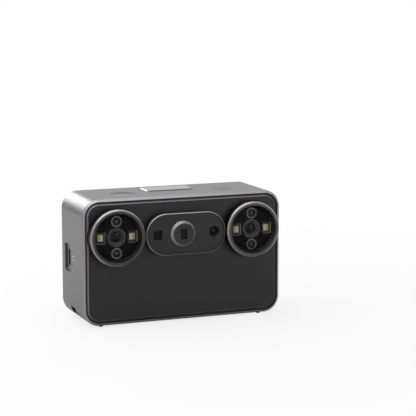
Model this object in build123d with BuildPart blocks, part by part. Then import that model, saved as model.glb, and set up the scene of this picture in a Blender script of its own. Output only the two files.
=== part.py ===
"""A pocket three-d scanner, built like a compact camera.

Millimetres. +X is to the right when the lenses are faced, the lenses look along -Y and +Z is up.
The origin lies on the resting plane, under the middle of the whole scanner.
The case is wrapped round what it holds: its width follows the row of optics, its height the battery
below the optics, and its depth the stack from the front cover to the display.
"""
import os

from build123d import *

# Case
corner_radius = 8.0
wall = 2.6
edge_chamfer = 1.0
rim_wall = 1.2
seal_width = 0.6
seal_sink = 0.6
cover_thickness = 2.2
cover_chamfer = 0.9

# Clearances
seat_gap = 0.05
slip_gap = 0.1
run_gap = 0.3
pin_gap = 0.04
overrun = 5.0

# Feet
foot_height = 1.0
foot_sink = 0.8
foot_radius = 1.4
foot_tip_radius = 0.9
foot_side_inset = 9.6
foot_edge_inset = 4.0

# Stereo cameras
optics_height = 5.0
optics_gap = 0.3
optics_margin = 2.0
camera_drop = 17.8
bezel_radius = 13.5
bezel_flare = 0.3
bezel_chamfer = 0.7
bezel_lip = 1.85
bezel_neck_radius = 12.3
bezel_tail = 0.8
glass_depth = 2.0
glass_thickness = 0.8
glass_radius = 11.05
glass_lip = 0.5
lens_hole_radius = 4.65
barrel_radius = 4.55
barrel_rim = 0.6
barrel_dish = 1.3
barrel_step = 0.7
lens_radius = 2.6
lens_crown = 0.7
lens_edge = 0.5
emitter_offset = 7.6
emitter_radius = 2.6
emitter_length = 1.4
emitter_rim = 0.45
emitter_dish = 0.8
emitter_dome_radius = 1.25
emitter_dome_shares = ((1.0, 0.0), (0.92, 0.4), (0.7, 0.72), (0.4, 0.92))
lamp_offset = 7.85
lamp_window_width = 4.8
lamp_window_height = 5.7
lamp_window_radius = 0.8
lamp_window_depth = 1.4
lamp_width = 2.6
lamp_height = 3.0
lamp_thickness = 0.7
camera_board_size = 20.0
camera_board_radius = 3.0
board_thickness = 1.0

# Raised panel between the cameras
panel_width = 40.2
panel_height = 20.0
panel_rise = 4.0
panel_border = 0.7
panel_border_rise = 0.5
panel_edge_chamfer = 0.35
panel_neck_inset = 0.8
projector_x = -1.6
projector_radius = 6.25
projector_rise = 1.3
projector_chamfer = 1.1
projector_flange_radius = 7.6
projector_flange = 1.2
projector_window_width = 3.2
projector_window_height = 5.1
window_sink = 0.9
window_thickness = 1.0
window_border = 0.5
projector_module_width = 15.0
projector_module_height = 16.0
projector_module_length = 11.5
projector_module_fillet = 1.2
sensor_inset = 5.9
sensor_mouth = 4.4
sensor_floor = 3.2
sensor_depth = 1.5
sensor_size = 2.4
sensor_thickness = 0.6
colour_camera_inset = 5.7
colour_mouth_radius = 2.7
colour_bore_radius = 2.1
colour_mouth_depth = 0.9
colour_lens_radius = 1.5
colour_dish = 0.8
colour_lens_crown = 0.4

# Bracket that carries the cameras
bracket_thickness = 2.0
bracket_standoff = 3.4
bracket_side_gap = 0.6
bracket_drop = 15.2
bracket_rise = 11.0
bracket_radius = 2.0
bracket_window = 7.0
standoff_radius = 2.0
standoff_gap = 0.9
standoff_sides = 6
cover_boss_radius = 2.5
cover_boss_inset = 0.1
cover_boss_drop = 12.2
cover_boss_rise = 8.4

# Fixing lugs and screws
lug_size = 5.0
lug_edge = 2.0
lug_length = 5.0
side_lug_drop = 6.7
top_lug_inset = 7.0
top_lug_rise = 9.0
board_lug_length = 3.4
board_lug_low = 13.0
board_lug_headroom = 10.5
screw_radius = 0.85
screw_pilot_radius = 0.9
screw_clearance_radius = 1.15
screw_head_radius = 1.8
screw_head = 1.2
screw_grip = 3.0

# Display and rear cover
glass_side_margin = 9.5
glass_end_margin = 6.9
glass_corner = 2.0
display_glass_thickness = 1.0
display_side_margin = 5.0
display_end_margin = 2.6
display_thickness = 2.8
display_corner = 1.2
display_gap = 3.97
vent_inset = 5.3
vent_rise = 7.5
vent_length = 27.0
vent_width = 2.5
vent_scoop = 1.6
vent_scoop_depth = 0.9
vent_screen_thickness = 0.4
vent_screen_border = 0.5
vent_slot_width = 0.7
vent_slot_pitch = 1.8
vent_slot_count = 13

# Scan button on the top
controls_inset = 24.5
controls_gap = 0.4
button_radius = 5.7
button_sink = 0.1
button_dish = 0.25
button_rim = 0.5
button_slope = 0.6
button_travel = 0.5
button_flange = 0.8
button_flange_radius = 6.8
button_stem_radius = 1.5
button_stem = 1.4
plunger_radius = 1.2
plunger_height = 0.7
tact_size = 5.0
tact_height = 1.6
button_post = 3.0
button_board_width = 6.0

# Speaker and antenna window in the top
speaker_radius = 6.0
speaker_rim = 1.2
speaker_depth = 3.8
speaker_magnet_radius = 3.6
grille_hole_radius = 0.45
grille_ring_radius = 1.9
grille_ring_counts = (6, 12)
antenna_width = 24.0
antenna_depth = 12.0
antenna_offset = 6.0
antenna_corner = 1.0
antenna_sink = 0.9
antenna_rise = 0.35
antenna_bevel = 0.35
antenna_gap = 0.15

# Charging port and lock screw on the left side
port_drop = 0.6
port_recess_width = 9.3
port_recess_height = 13.3
port_recess_depth = 0.85
port_recess_radius = 0.9
port_length = 8.94
port_thickness = 3.26
port_wall = 0.3
port_depth = 7.4
port_back = 0.8
tongue_length = 6.7
tongue_thickness = 0.7
tongue_reach = 5.0
lock_offset = 7.5
lock_drop = 0.1
lock_scoop_radius = 3.6
lock_scoop_depth = 0.45
lock_radius = 1.65
lock_bore_radius = 0.8
lock_length = 4.0
lock_boss_radius = 3.0

# Lanyard eyelet in the lower left corner
lanyard_offset = 1.0
lanyard_length = 10.0
lanyard_width = 3.2
lanyard_depth = 3.4
lanyard_angle = 23.0
lanyard_bar_radius = 0.8
lanyard_bar_sink = 0.6
lanyard_bar_seat = 0.9
lanyard_block = 9.0
lanyard_block_margin = 2.5

# Tripod socket in the base
tripod_radius = 4.8
tripod_bore_radius = 2.6
tripod_bore_depth = 6.0
tripod_length = 6.6
tripod_roof = 1.0
tripod_boss_radius = 7.0

# Power switch on the right side
switch_plate_width = 20.4
switch_plate_height = 15.4
switch_plate_rise = 2.1
switch_plate_corner = 2.0
switch_plate_thickness = 1.0
switch_plate_gap = 0.2
slot_width = 4.6
slider_length = 2.2
slider_travel = 1.7
slider_sink = 0.3
slider_rise = 0.9
slider_flange_thickness = 0.8
slider_flange_width = 6.4
slider_flange_height = 7.6
slider_rib = 0.35
grip_ribs = 3
switch_gap = 0.2
switch_body_depth = 3.2
switch_body_height = 9.0
switch_leg = 1.0
reset_hole_inset = 6.3
reset_hole_rise = 3.5
reset_hole_radius = 0.6

# Battery door and its latch
door_width = 20.4
door_margin = 0.5
door_headroom = 4.7
door_sill = 0.3
door_thickness = 1.6
door_lip = 1.2
door_corner = 2.0
hinge_pin_radius = 0.6
hinge_pin_seat = 0.9
latch_drop = 8.0
latch_window_width = 5.6
latch_window_margin = 0.5
latch_knob_height = 3.0
latch_knob_sink = 0.3
latch_travel = 1.5
latch_thickness = 1.0
latch_plate_width = 9.0
latch_plate_drop = 5.0
latch_bolt_width = 4.0
latch_bolt_gap = 0.35
rail_width = 1.0
rail_lip = 0.8
rail_lip_thickness = 0.7
knob_rib = 0.35

# Battery, tray and boards
battery_length = 66.0
battery_width = 16.0
battery_height = 16.4
battery_fillet = 2.0
battery_end_gap = 2.8
bracket_gap = 1.4
tray_gap = 0.2
tray_floor = 1.4
tray_wall = 1.2
tray_rise = 2.4
tray_end = 1.5
contact_radius = 0.7
contact_length = 2.4
contact_pitch = 4.0
contact_count = 3
board_gap = 2.43
main_board_side_gap = 2.1
main_board_bottom = 10.2
main_board_headroom = 5.8
main_board_thickness = 1.2
main_board_corner = 2.0
heat_sink_width = 40.0
heat_sink_height = 20.0
heat_sink_base = 1.6
heat_sink_drop = 1.2
heat_sink_x = 6.0
fin_count = 9
fin_height = 3.2
fin_thickness = 1.0

# Width, from the row of optics
camera_spacing = panel_width + 2 * (bezel_radius + bezel_flare + optics_gap)
case_width = camera_spacing + 2 * (bezel_radius + bezel_flare + optics_margin)
side_x = case_width / 2
inner_x = side_x - wall
corner_x = side_x - corner_radius
sensor_x = sensor_inset - panel_width / 2
colour_camera_x = panel_width / 2 - colour_camera_inset
cover_boss_x = panel_width / 2 - cover_boss_inset
bracket_width = 2 * (inner_x - bracket_side_gap)
side_lug_x = inner_x - lug_size / 2
standoff_reach = side_lug_x - screw_head_radius - standoff_gap - standoff_radius
standoff_pitch = 2 * standoff_reach - camera_spacing
top_lug_x = side_x - top_lug_inset
button_x = controls_inset - side_x
speaker_x = side_x - controls_inset
vent_x = vent_inset - side_x
battery_end_x = inner_x - battery_end_gap
battery_far_x = battery_end_x - battery_length
tray_end_x = battery_far_x - contact_length
main_board_width = 2 * (inner_x - main_board_side_gap)
glass_width = case_width - 2 * glass_side_margin
display_width = glass_width - 2 * display_side_margin

# Height, from the battery up to the optics and the top
base_z = foot_height
inner_floor = base_z + wall
corner_z = base_z + corner_radius
tray_under = base_z + tripod_length + tripod_roof + tray_gap
battery_bottom = tray_under + tray_floor
bracket_bottom = battery_bottom + battery_height + bracket_gap
optics_z = bracket_bottom + bracket_drop
bracket_top = optics_z + bracket_rise
top_z = optics_z + camera_drop
inner_top = top_z - wall
case_height = top_z - base_z
mid_z = base_z + case_height / 2
side_lug_z = optics_z - side_lug_drop
top_lug_screw_z = optics_z + top_lug_rise
top_lug_drop = inner_top - top_lug_screw_z + lug_edge
board_lug_zs = (base_z + board_lug_low, top_z - board_lug_headroom)
main_board_height = case_height - main_board_bottom - main_board_headroom
heat_sink_z = optics_z - heat_sink_drop
glass_height = case_height - 2 * glass_end_margin
display_height = glass_height - 2 * display_end_margin
vent_z = mid_z + vent_rise
switch_plate_z = optics_z + switch_plate_rise
slider_z = switch_plate_z + slider_rise
slot_length = slider_length + slider_travel + 2 * run_gap
slot_z = slider_z + slider_length / 2 + run_gap - slot_length / 2
door_top_z = switch_plate_z - switch_plate_height / 2 - door_headroom
door_bottom_z = battery_bottom + door_sill
door_height = door_top_z - door_bottom_z
door_mouth_z = door_top_z - door_lip
hinge_z = door_bottom_z + door_thickness
reset_hole_z = door_top_z + reset_hole_rise
latch_z = door_top_z - latch_drop
latch_window_height = latch_knob_height + 2 * (latch_travel + latch_window_margin)
rail_bottom_z = latch_z - latch_plate_drop
rail_top_z = latch_z + latch_window_height / 2
cap_top = top_z - button_sink
flange_top = inner_top - run_gap
stem_top = flange_top - button_flange
plunger_top = stem_top - button_stem - button_travel - slip_gap
button_board_top = plunger_top - plunger_height - tact_height

# Depth, from the front cover back to the display
camera_stack = cover_thickness + bezel_tail + board_thickness
bracket_stack = camera_stack + bracket_standoff + bracket_thickness
door_stack = cover_thickness + door_margin + hinge_pin_seat + run_gap + door_width / 2
main_board_stack = door_stack + battery_width / 2 + run_gap + tray_wall + board_gap
display_stack = display_gap + display_thickness + display_glass_thickness
case_depth = main_board_stack + main_board_thickness + display_stack
front_y = optics_height / 2 - case_depth / 2
rear_y = front_y + case_depth
mid_y = (front_y + rear_y) / 2
rim_y = front_y - optics_height
front_shelf = front_y + cover_thickness
rear_shelf = rear_y - cover_thickness
bezel_back = front_shelf + bezel_tail
glass_front = rim_y + glass_depth
carrier_front = glass_front + glass_thickness
camera_board_back = bezel_back + board_thickness
bracket_front = camera_board_back + bracket_standoff
bracket_back = front_y + bracket_stack
panel_front = front_y - panel_rise
panel_face = panel_front + panel_border_rise
projector_front = panel_face - projector_rise
door_y = front_y + door_stack
main_board_front = front_y + main_board_stack
main_board_back = main_board_front + main_board_thickness
switch_y = bracket_back + switch_gap + switch_leg + run_gap + slider_flange_width / 2
controls_y = bracket_back + screw_head + controls_gap + button_board_width / 2
antenna_y = mid_y + antenna_offset
port_place = (main_board_front - port_thickness / 2, mid_z - port_drop)
lock_place = (port_place[0] - lock_offset, mid_z - lock_drop)
lanyard_y = mid_y - lanyard_offset

# Depths inwards from the two sides
port_floor = side_x - port_recess_depth
lock_floor = side_x - lock_scoop_depth
hinge_x = side_x - door_thickness
door_seat_x = hinge_x - run_gap
plate_floor_x = side_x - switch_plate_thickness
slider_flange_x = inner_x - run_gap
switch_body_x = slider_flange_x - slider_flange_thickness - run_gap
latch_face_x = hinge_x - run_gap
rail_y = latch_plate_width / 2 + slip_gap + rail_width / 2
rail_lip_x = latch_face_x - latch_thickness - slip_gap - rail_lip_thickness
eyelet_out = Vector(-1, 0, 0).rotate(Axis.Y, -lanyard_angle)
eyelet_middle = Vector(-corner_x, lanyard_y, corner_z)
eyelet = Plane(origin=eyelet_middle, x_dir=(0, 1, 0), z_dir=eyelet_out)
eyelet_bar_reach = corner_radius - lanyard_bar_sink - lanyard_bar_radius

# Places that repeat
screw_places = [(sign * cover_boss_x, optics_z + rise)
                for sign in (-1, 1) for rise in (-cover_boss_drop, cover_boss_rise)]
bracket_screws_at = [(sign * side_lug_x, side_lug_z) for sign in (-1, 1)]
bracket_screws_at += [(sign * top_lug_x, top_lug_screw_z) for sign in (-1, 1)]
board_screws_at = [(sign * side_lug_x, height) for sign in (-1, 1) for height in board_lug_zs]
feet_at = [(sign_x * (side_x - foot_side_inset), mid_y + sign_y * (case_depth / 2 - foot_edge_inset))
           for sign_x in (-1, 1) for sign_y in (-1, 1)]


def facing_front(y):
    """Plane at depth y whose sketches read X across and Z up, with its normal to the front."""
    return Plane.XZ.offset(-y)


def facing_right(x):
    """Plane at x whose sketches read Y across and Z up, with its normal to the right."""
    return Plane.YZ.offset(x)


def facing_up(z):
    """Level plane at height z, with its normal upwards."""
    return Plane.XY.offset(z)


def turning_plane(x, z):
    """Plane through the line along Y at x and z, whose sketches read radius across and Y up."""
    return Plane(origin=(x, 0, z), x_dir=(1, 0, 0), z_dir=(0, 0, 1))


def turning_axis(x, z):
    """Line along Y at x and z."""
    return Axis((x, 0, z), (0, 1, 0))


def case_outline(inset):
    """Rounded outline of the case drawn in by inset, for a sketch that faces the front."""
    with Locations((0, mid_z)):
        RectangleRounded(case_width - 2 * inset, case_height - 2 * inset, corner_radius - inset)


def screw_profile(tip_y, seat_y):
    """Half profile of a pan-head screw with its tip at tip_y and its head on the face at seat_y."""
    step = 1 if seat_y > tip_y else -1
    head_y = seat_y + step * screw_head
    return [(0, tip_y), (screw_radius, tip_y), (screw_radius, seat_y),
            (screw_head_radius, seat_y), (screw_head_radius, head_y), (0, head_y)]


os.makedirs("parts", exist_ok=True)

# Middle frame: the metal band that carries everything
with BuildPart() as middle_frame:
    with BuildSketch(facing_front(rear_y)):
        case_outline(0)
    extrude(amount=case_depth)
    ends = middle_frame.edges().group_by(Axis.Y)
    chamfer(ends[0] + ends[-1], edge_chamfer)
    with BuildSketch(facing_front(rear_y)):
        case_outline(wall)
    extrude(amount=case_depth, mode=Mode.SUBTRACT)
    for shelf_y, direction in ((front_shelf, 1), (rear_shelf, -1)):
        with BuildSketch(facing_front(shelf_y)):
            case_outline(rim_wall)
        extrude(amount=direction * (cover_thickness + overrun), mode=Mode.SUBTRACT)
    # Solid corner for the lanyard eyelet
    with BuildSketch(facing_front(lanyard_y + lanyard_length / 2 + lanyard_block_margin)):
        case_outline(edge_chamfer)
        with Locations((-side_x + lanyard_block / 2, base_z + lanyard_block / 2)):
            Rectangle(lanyard_block, lanyard_block, mode=Mode.INTERSECT)
    extrude(amount=lanyard_length + 2 * lanyard_block_margin)
    # Bosses for the tripod socket and the lock screw
    with BuildSketch(facing_up(base_z + wall / 2)):
        with Locations((0, mid_y)):
            Circle(tripod_boss_radius)
    extrude(amount=tripod_length + tripod_roof - wall / 2)
    with BuildSketch(facing_right(wall / 2 - side_x)):
        with Locations(lock_place):
            Circle(lock_boss_radius)
    extrude(amount=lock_length + lock_scoop_depth - wall / 2)
    # Lugs for the bracket and for the main board
    with BuildSketch(facing_front(bracket_back + lug_length)):
        for sign in (-1, 1):
            with Locations((sign * (inner_x - lug_size / 2 + wall / 4), side_lug_z)):
                Rectangle(lug_size + wall / 2, lug_size)
            with Locations((sign * top_lug_x, inner_top - top_lug_drop / 2 + wall / 4)):
                Rectangle(lug_size, top_lug_drop + wall / 2)
    extrude(amount=lug_length)
    with BuildSketch(facing_front(main_board_back + board_lug_length)):
        for sign in (-1, 1):
            for height in board_lug_zs:
                with Locations((sign * (inner_x - lug_size / 2 + wall / 4), height)):
                    Rectangle(lug_size + wall / 2, lug_size)
    extrude(amount=board_lug_length)
    # Posts that carry the scan button's board
    with BuildSketch(facing_up(inner_top + wall / 2)):
        for sign in (-1, 1):
            offset_x = button_flange_radius + run_gap + button_post / 2
            with Locations((button_x + sign * offset_x, controls_y)):
                Rectangle(button_post, button_post)
    post_drop = inner_top - button_board_top
    extrude(amount=-post_drop - wall / 2)
    # Screw pilots
    with BuildSketch(facing_front(bracket_back)):
        with Locations(bracket_screws_at):
            Circle(screw_pilot_radius)
    extrude(amount=-screw_grip - slip_gap, mode=Mode.SUBTRACT)
    with BuildSketch(facing_front(main_board_back)):
        with Locations(board_screws_at):
            Circle(screw_pilot_radius)
    extrude(amount=-screw_grip - slip_gap, mode=Mode.SUBTRACT)
    # Sockets for the feet and the tripod insert
    with BuildSketch(facing_up(base_z)):
        with Locations(feet_at):
            Circle(foot_radius + seat_gap)
    extrude(amount=foot_sink, mode=Mode.SUBTRACT)
    with BuildSketch(facing_up(base_z)):
        with Locations((0, mid_y)):
            Circle(tripod_radius + seat_gap)
    extrude(amount=tripod_length, mode=Mode.SUBTRACT)
    # Scan button hole, speaker grille and antenna window in the top
    with BuildSketch(facing_up(inner_top)):
        with Locations((button_x, controls_y)):
            Circle(button_radius + run_gap)
        with Locations((speaker_x, controls_y)):
            Circle(grille_hole_radius)
            for ring, count in enumerate(grille_ring_counts, start=1):
                with PolarLocations(ring * grille_ring_radius, count):
                    Circle(grille_hole_radius)
    extrude(amount=wall, mode=Mode.SUBTRACT)
    with BuildSketch(facing_up(top_z - antenna_sink)):
        with Locations((0, antenna_y)):
            RectangleRounded(antenna_width, antenna_depth, antenna_corner)
    extrude(amount=antenna_sink, mode=Mode.SUBTRACT)
    # Charging port recess with the lock screw's scoop
    with BuildSketch(facing_right(-side_x)):
        with Locations(port_place):
            RectangleRounded(port_recess_width, port_recess_height, port_recess_radius)
    extrude(amount=port_recess_depth, mode=Mode.SUBTRACT)
    with BuildSketch(facing_right(-side_x)):
        with Locations(lock_place):
            Circle(lock_scoop_radius)
        scoop_run = port_place[0] - lock_place[0]
        with Locations((lock_place[0] + scoop_run / 2, lock_place[1])):
            Rectangle(scoop_run, 2 * lock_scoop_radius)
    extrude(amount=lock_scoop_depth, mode=Mode.SUBTRACT)
    with BuildSketch(facing_right(-side_x)):
        with Locations(port_place):
            SlotOverall(port_length + 2 * seat_gap, port_thickness + 2 * seat_gap, rotation=90)
    extrude(amount=wall, mode=Mode.SUBTRACT)
    with BuildSketch(facing_right(-lock_floor)):
        with Locations(lock_place):
            Circle(lock_radius + seat_gap)
    extrude(amount=lock_length, mode=Mode.SUBTRACT)
    # Lanyard eyelet: a pocket that looks out of the rounded corner, with seats for its bar
    with BuildSketch(eyelet.offset(corner_radius - lanyard_depth)):
        Rectangle(lanyard_length, lanyard_width)
    extrude(amount=lanyard_depth + overrun, mode=Mode.SUBTRACT)
    with BuildSketch(Plane(origin=eyelet_middle + eyelet_out * eyelet_bar_reach, z_dir=eyelet.y_dir)):
        Circle(lanyard_bar_radius + seat_gap)
    extrude(amount=lanyard_width / 2 + lanyard_bar_seat, both=True, mode=Mode.SUBTRACT)
    # Switch plate pocket, slider slot and reset hole on the right
    with BuildSketch(facing_right(plate_floor_x)):
        with Locations((switch_y, switch_plate_z)):
            RectangleRounded(switch_plate_width + 2 * switch_plate_gap,
                             switch_plate_height + 2 * switch_plate_gap,
                             switch_plate_corner + switch_plate_gap)
    extrude(amount=switch_plate_thickness + overrun, mode=Mode.SUBTRACT)
    with BuildSketch(facing_right(inner_x)):
        with Locations((switch_y, slot_z)):
            Rectangle(slot_width, slot_length)
        with Locations((rear_y - reset_hole_inset, reset_hole_z)):
            Circle(reset_hole_radius)
    extrude(amount=wall, mode=Mode.SUBTRACT)
    # Battery door: outer pocket, mouth behind it, and room for the hinge barrel and its pin
    with BuildSketch(facing_right(door_seat_x)) as door_pocket:
        with Locations((door_y, door_top_z - door_height / 2)):
            Rectangle(door_width + 2 * run_gap, door_height + 2 * run_gap)
        fillet(door_pocket.vertices().group_by(Axis.Y)[-1], door_corner + run_gap)
    extrude(amount=door_thickness + run_gap, mode=Mode.SUBTRACT)
    with BuildSketch(facing_right(inner_x)):
        mouth_height = door_mouth_z - hinge_z
        with Locations((door_y, hinge_z + mouth_height / 2)):
            Rectangle(door_width - 2 * door_lip, mouth_height)
    extrude(amount=wall, mode=Mode.SUBTRACT)
    with BuildSketch(facing_front(door_y + door_width / 2 + run_gap)):
        with Locations((hinge_x, hinge_z)):
            Circle(door_thickness + run_gap)
    extrude(amount=door_width + 2 * run_gap, mode=Mode.SUBTRACT)
    with BuildSketch(facing_front(door_y)):
        with Locations((hinge_x, hinge_z)):
            Circle(hinge_pin_radius + seat_gap)
    extrude(amount=door_width / 2 + run_gap + hinge_pin_seat, both=True, mode=Mode.SUBTRACT)
middle_frame.part.label = "middle_frame"
export_step(middle_frame.part, "parts/middle_frame.step")

# Dark seals that lie in the groove round each cover
with BuildPart() as front_seal:
    with BuildSketch(facing_front(front_shelf)):
        case_outline(rim_wall)
        offset(amount=-seal_width, mode=Mode.SUBTRACT)
    extrude(amount=cover_thickness - seal_sink)
front_seal.part.label = "front_seal"
export_step(front_seal.part, "parts/front_seal.step")

with BuildPart() as rear_seal:
    with BuildSketch(facing_front(rear_shelf)):
        case_outline(rim_wall)
        offset(amount=-seal_width, mode=Mode.SUBTRACT)
    extrude(amount=seal_sink - cover_thickness)
rear_seal.part.label = "rear_seal"
export_step(rear_seal.part, "parts/rear_seal.step")

# Front cover with the openings for the optics and four bosses for its screws
with BuildPart() as front_cover:
    with BuildSketch(facing_front(front_shelf)):
        case_outline(rim_wall + seal_width)
    extrude(amount=cover_thickness)
    chamfer(front_cover.edges().group_by(Axis.Y)[0], cover_chamfer)
    with BuildSketch(facing_front(front_shelf)):
        with Locations(screw_places):
            Circle(cover_boss_radius)
    extrude(amount=front_shelf - bracket_front)
    with BuildSketch(facing_front(bracket_front)):
        with Locations(screw_places):
            Circle(screw_pilot_radius)
    extrude(amount=screw_grip + slip_gap, mode=Mode.SUBTRACT)
    with BuildSketch(facing_front(front_shelf)):
        for sign in (-1, 1):
            with Locations((sign * camera_spacing / 2, optics_z)):
                Circle(bezel_neck_radius + slip_gap)
        with Locations((0, optics_z)):
            SlotOverall(panel_width - 2 * (panel_neck_inset - slip_gap),
                        panel_height - 2 * (panel_neck_inset - slip_gap))
    extrude(amount=cover_thickness, mode=Mode.SUBTRACT)
front_cover.part.label = "front_cover"
export_step(front_cover.part, "parts/front_cover.step")

# Rear cover: pocket for the display glass, window for the panel behind it and the vent slot
with BuildPart() as rear_cover:
    with BuildSketch(facing_front(rear_shelf)):
        case_outline(rim_wall + seal_width)
    extrude(amount=-cover_thickness)
    chamfer(rear_cover.edges().group_by(Axis.Y)[-1], cover_chamfer)
    with BuildSketch(facing_front(rear_y - display_glass_thickness)):
        with Locations((0, mid_z)):
            RectangleRounded(glass_width + 2 * slip_gap, glass_height + 2 * slip_gap, glass_corner + slip_gap)
    extrude(amount=-display_glass_thickness, mode=Mode.SUBTRACT)
    with BuildSketch(facing_front(rear_shelf)):
        with Locations((0, mid_z)):
            RectangleRounded(display_width + 2 * run_gap, display_height + 2 * run_gap,
                             display_corner + run_gap)
        with Locations((vent_x, vent_z)):
            SlotOverall(vent_length, vent_width, rotation=90)
    extrude(amount=-cover_thickness, mode=Mode.SUBTRACT)
    with BuildSketch(facing_front(rear_y - vent_scoop_depth)):
        with Locations((vent_x, vent_z)):
            SlotOverall(vent_length, vent_width, rotation=90)
    with BuildSketch(facing_front(rear_y)):
        with Locations((vent_x - vent_scoop / 2, vent_z)):
            SlotOverall(vent_length + vent_scoop, vent_width + vent_scoop, rotation=90)
    loft(ruled=True, mode=Mode.SUBTRACT)
rear_cover.part.label = "rear_cover"
export_step(rear_cover.part, "parts/rear_cover.step")

with BuildPart() as vent_screen:
    with BuildSketch(facing_front(rear_shelf)):
        with Locations((vent_x, vent_z)):
            SlotOverall(vent_length + 2 * vent_screen_border, vent_width + 2 * vent_screen_border,
                        rotation=90)
            with GridLocations(0, vent_slot_pitch, 1, vent_slot_count):
                Rectangle(vent_width, vent_slot_width, mode=Mode.SUBTRACT)
    extrude(amount=vent_screen_thickness)
vent_screen.part.label = "vent_screen"
export_step(vent_screen.part, "parts/vent_screen.step")

with BuildPart() as display_glass:
    with BuildSketch(facing_front(rear_y)):
        with Locations((0, mid_z)):
            RectangleRounded(glass_width, glass_height, glass_corner)
    extrude(amount=display_glass_thickness)
display_glass.part.label = "display_glass"
export_step(display_glass.part, "parts/display_glass.step")

with BuildPart() as display_panel:
    with BuildSketch(facing_front(rear_y - display_glass_thickness)):
        with Locations((0, mid_z)):
            RectangleRounded(display_width, display_height, display_corner)
    extrude(amount=display_thickness)
display_panel.part.label = "display_panel"
export_step(display_panel.part, "parts/display_panel.step")

# The two stereo cameras, alike on both sides
for side, camera_x in (("left", -camera_spacing / 2), ("right", camera_spacing / 2)):
    emitters_at = [(camera_x, optics_z + sign * emitter_offset) for sign in (-1, 1)]
    lamps_at = [(camera_x + sign * lamp_offset, optics_z) for sign in (-1, 1)]

    with BuildPart() as camera_bezel:
        mouth_radius = bezel_radius - bezel_lip
        lip_radius = glass_radius - glass_lip
        with BuildSketch(turning_plane(camera_x, optics_z)):
            with BuildLine():
                Polyline((mouth_radius, rim_y), (bezel_radius - bezel_chamfer, rim_y),
                         (bezel_radius, rim_y + bezel_chamfer), (bezel_radius + bezel_flare, front_y),
                         (bezel_neck_radius, front_y), (bezel_neck_radius, bezel_back),
                         (glass_radius + seat_gap, bezel_back), (glass_radius + seat_gap, glass_front),
                         (lip_radius, glass_front), close=True)
            make_face()
        revolve(axis=turning_axis(camera_x, optics_z))
    camera_bezel.part.label = f"{side}_camera_bezel"
    export_step(camera_bezel.part, f"parts/{side}_camera_bezel.step")

    with BuildPart() as camera_glass:
        with BuildSketch(facing_front(carrier_front)):
            with Locations((camera_x, optics_z)):
                Circle(glass_radius)
        extrude(amount=glass_thickness)
    camera_glass.part.label = f"{side}_camera_glass"
    export_step(camera_glass.part, f"parts/{side}_camera_glass.step")

    with BuildPart() as camera_carrier:
        with BuildSketch(facing_front(bezel_back)):
            with Locations((camera_x, optics_z)):
                Circle(glass_radius)
                Circle(lens_hole_radius, mode=Mode.SUBTRACT)
        extrude(amount=bezel_back - carrier_front)
        with BuildSketch(facing_front(carrier_front)):
            with Locations(emitters_at):
                Circle(emitter_radius + seat_gap)
        extrude(amount=-emitter_length, mode=Mode.SUBTRACT)
        with BuildSketch(facing_front(carrier_front)):
            with Locations(lamps_at):
                RectangleRounded(lamp_window_width, lamp_window_height, lamp_window_radius)
        extrude(amount=-lamp_window_depth, mode=Mode.SUBTRACT)
    camera_carrier.part.label = f"{side}_camera_carrier"
    export_step(camera_carrier.part, f"parts/{side}_camera_carrier.step")

    with BuildPart() as lens_barrel:
        barrel_front = carrier_front + slip_gap
        dish_y = barrel_front + barrel_dish
        step_y = dish_y + barrel_step
        with BuildSketch(turning_plane(camera_x, optics_z)):
            with BuildLine():
                Polyline((barrel_radius - barrel_rim, barrel_front), (barrel_radius, barrel_front),
                         (barrel_radius, bezel_back), (0, bezel_back), (0, step_y),
                         (lens_radius + seat_gap, step_y), (lens_radius + seat_gap, dish_y), close=True)
            make_face()
        revolve(axis=turning_axis(camera_x, optics_z))
    lens_barrel.part.label = f"{side}_lens_barrel"
    export_step(lens_barrel.part, f"parts/{side}_lens_barrel.step")

    with BuildPart() as camera_lens:
        with BuildSketch(turning_plane(camera_x, optics_z)):
            with BuildLine():
                crown_y = step_y - lens_edge - lens_crown
                Polyline((0, crown_y), (0, step_y), (lens_radius, step_y), (lens_radius, step_y - lens_edge))
                RadiusArc((lens_radius, step_y - lens_edge), (0, crown_y),
                          (lens_radius ** 2 + lens_crown ** 2) / (2 * lens_crown))
            make_face()
        revolve(axis=turning_axis(camera_x, optics_z))
    camera_lens.part.label = f"{side}_camera_lens"
    export_step(camera_lens.part, f"parts/{side}_camera_lens.step")

    with BuildPart() as ir_emitters:
        emitter_back = carrier_front + emitter_length
        dish_floor = carrier_front + emitter_dish
        dome_top = carrier_front + slip_gap
        dome_rise = dish_floor - dome_top
        for place_x, place_z in emitters_at:
            with BuildSketch(turning_plane(place_x, place_z)):
                with BuildLine():
                    Polyline((0, dome_top), (0, emitter_back), (emitter_radius, emitter_back),
                             (emitter_radius, carrier_front), (emitter_radius - emitter_rim, carrier_front),
                             (emitter_dome_radius + emitter_rim, dish_floor),
                             *[(emitter_dome_radius * out, dish_floor - dome_rise * up)
                               for out, up in emitter_dome_shares], close=True)
                make_face()
            revolve(axis=turning_axis(place_x, place_z))
    ir_emitters.part.label = f"{side}_ir_emitters"
    export_step(ir_emitters.part, f"parts/{side}_ir_emitters.step")

    with BuildPart() as fill_lights:
        with BuildSketch(facing_front(carrier_front + lamp_window_depth)):
            with Locations(lamps_at):
                Rectangle(lamp_width, lamp_height)
        extrude(amount=lamp_thickness)
    fill_lights.part.label = f"{side}_fill_lights"
    export_step(fill_lights.part, f"parts/{side}_fill_lights.step")

    with BuildPart() as camera_board:
        with BuildSketch(facing_front(camera_board_back)):
            with Locations((camera_x, optics_z)):
                RectangleRounded(camera_board_size, camera_board_size, camera_board_radius)
        extrude(amount=board_thickness)
    camera_board.part.label = f"{side}_camera_board"
    export_step(camera_board.part, f"parts/{side}_camera_board.step")

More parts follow.
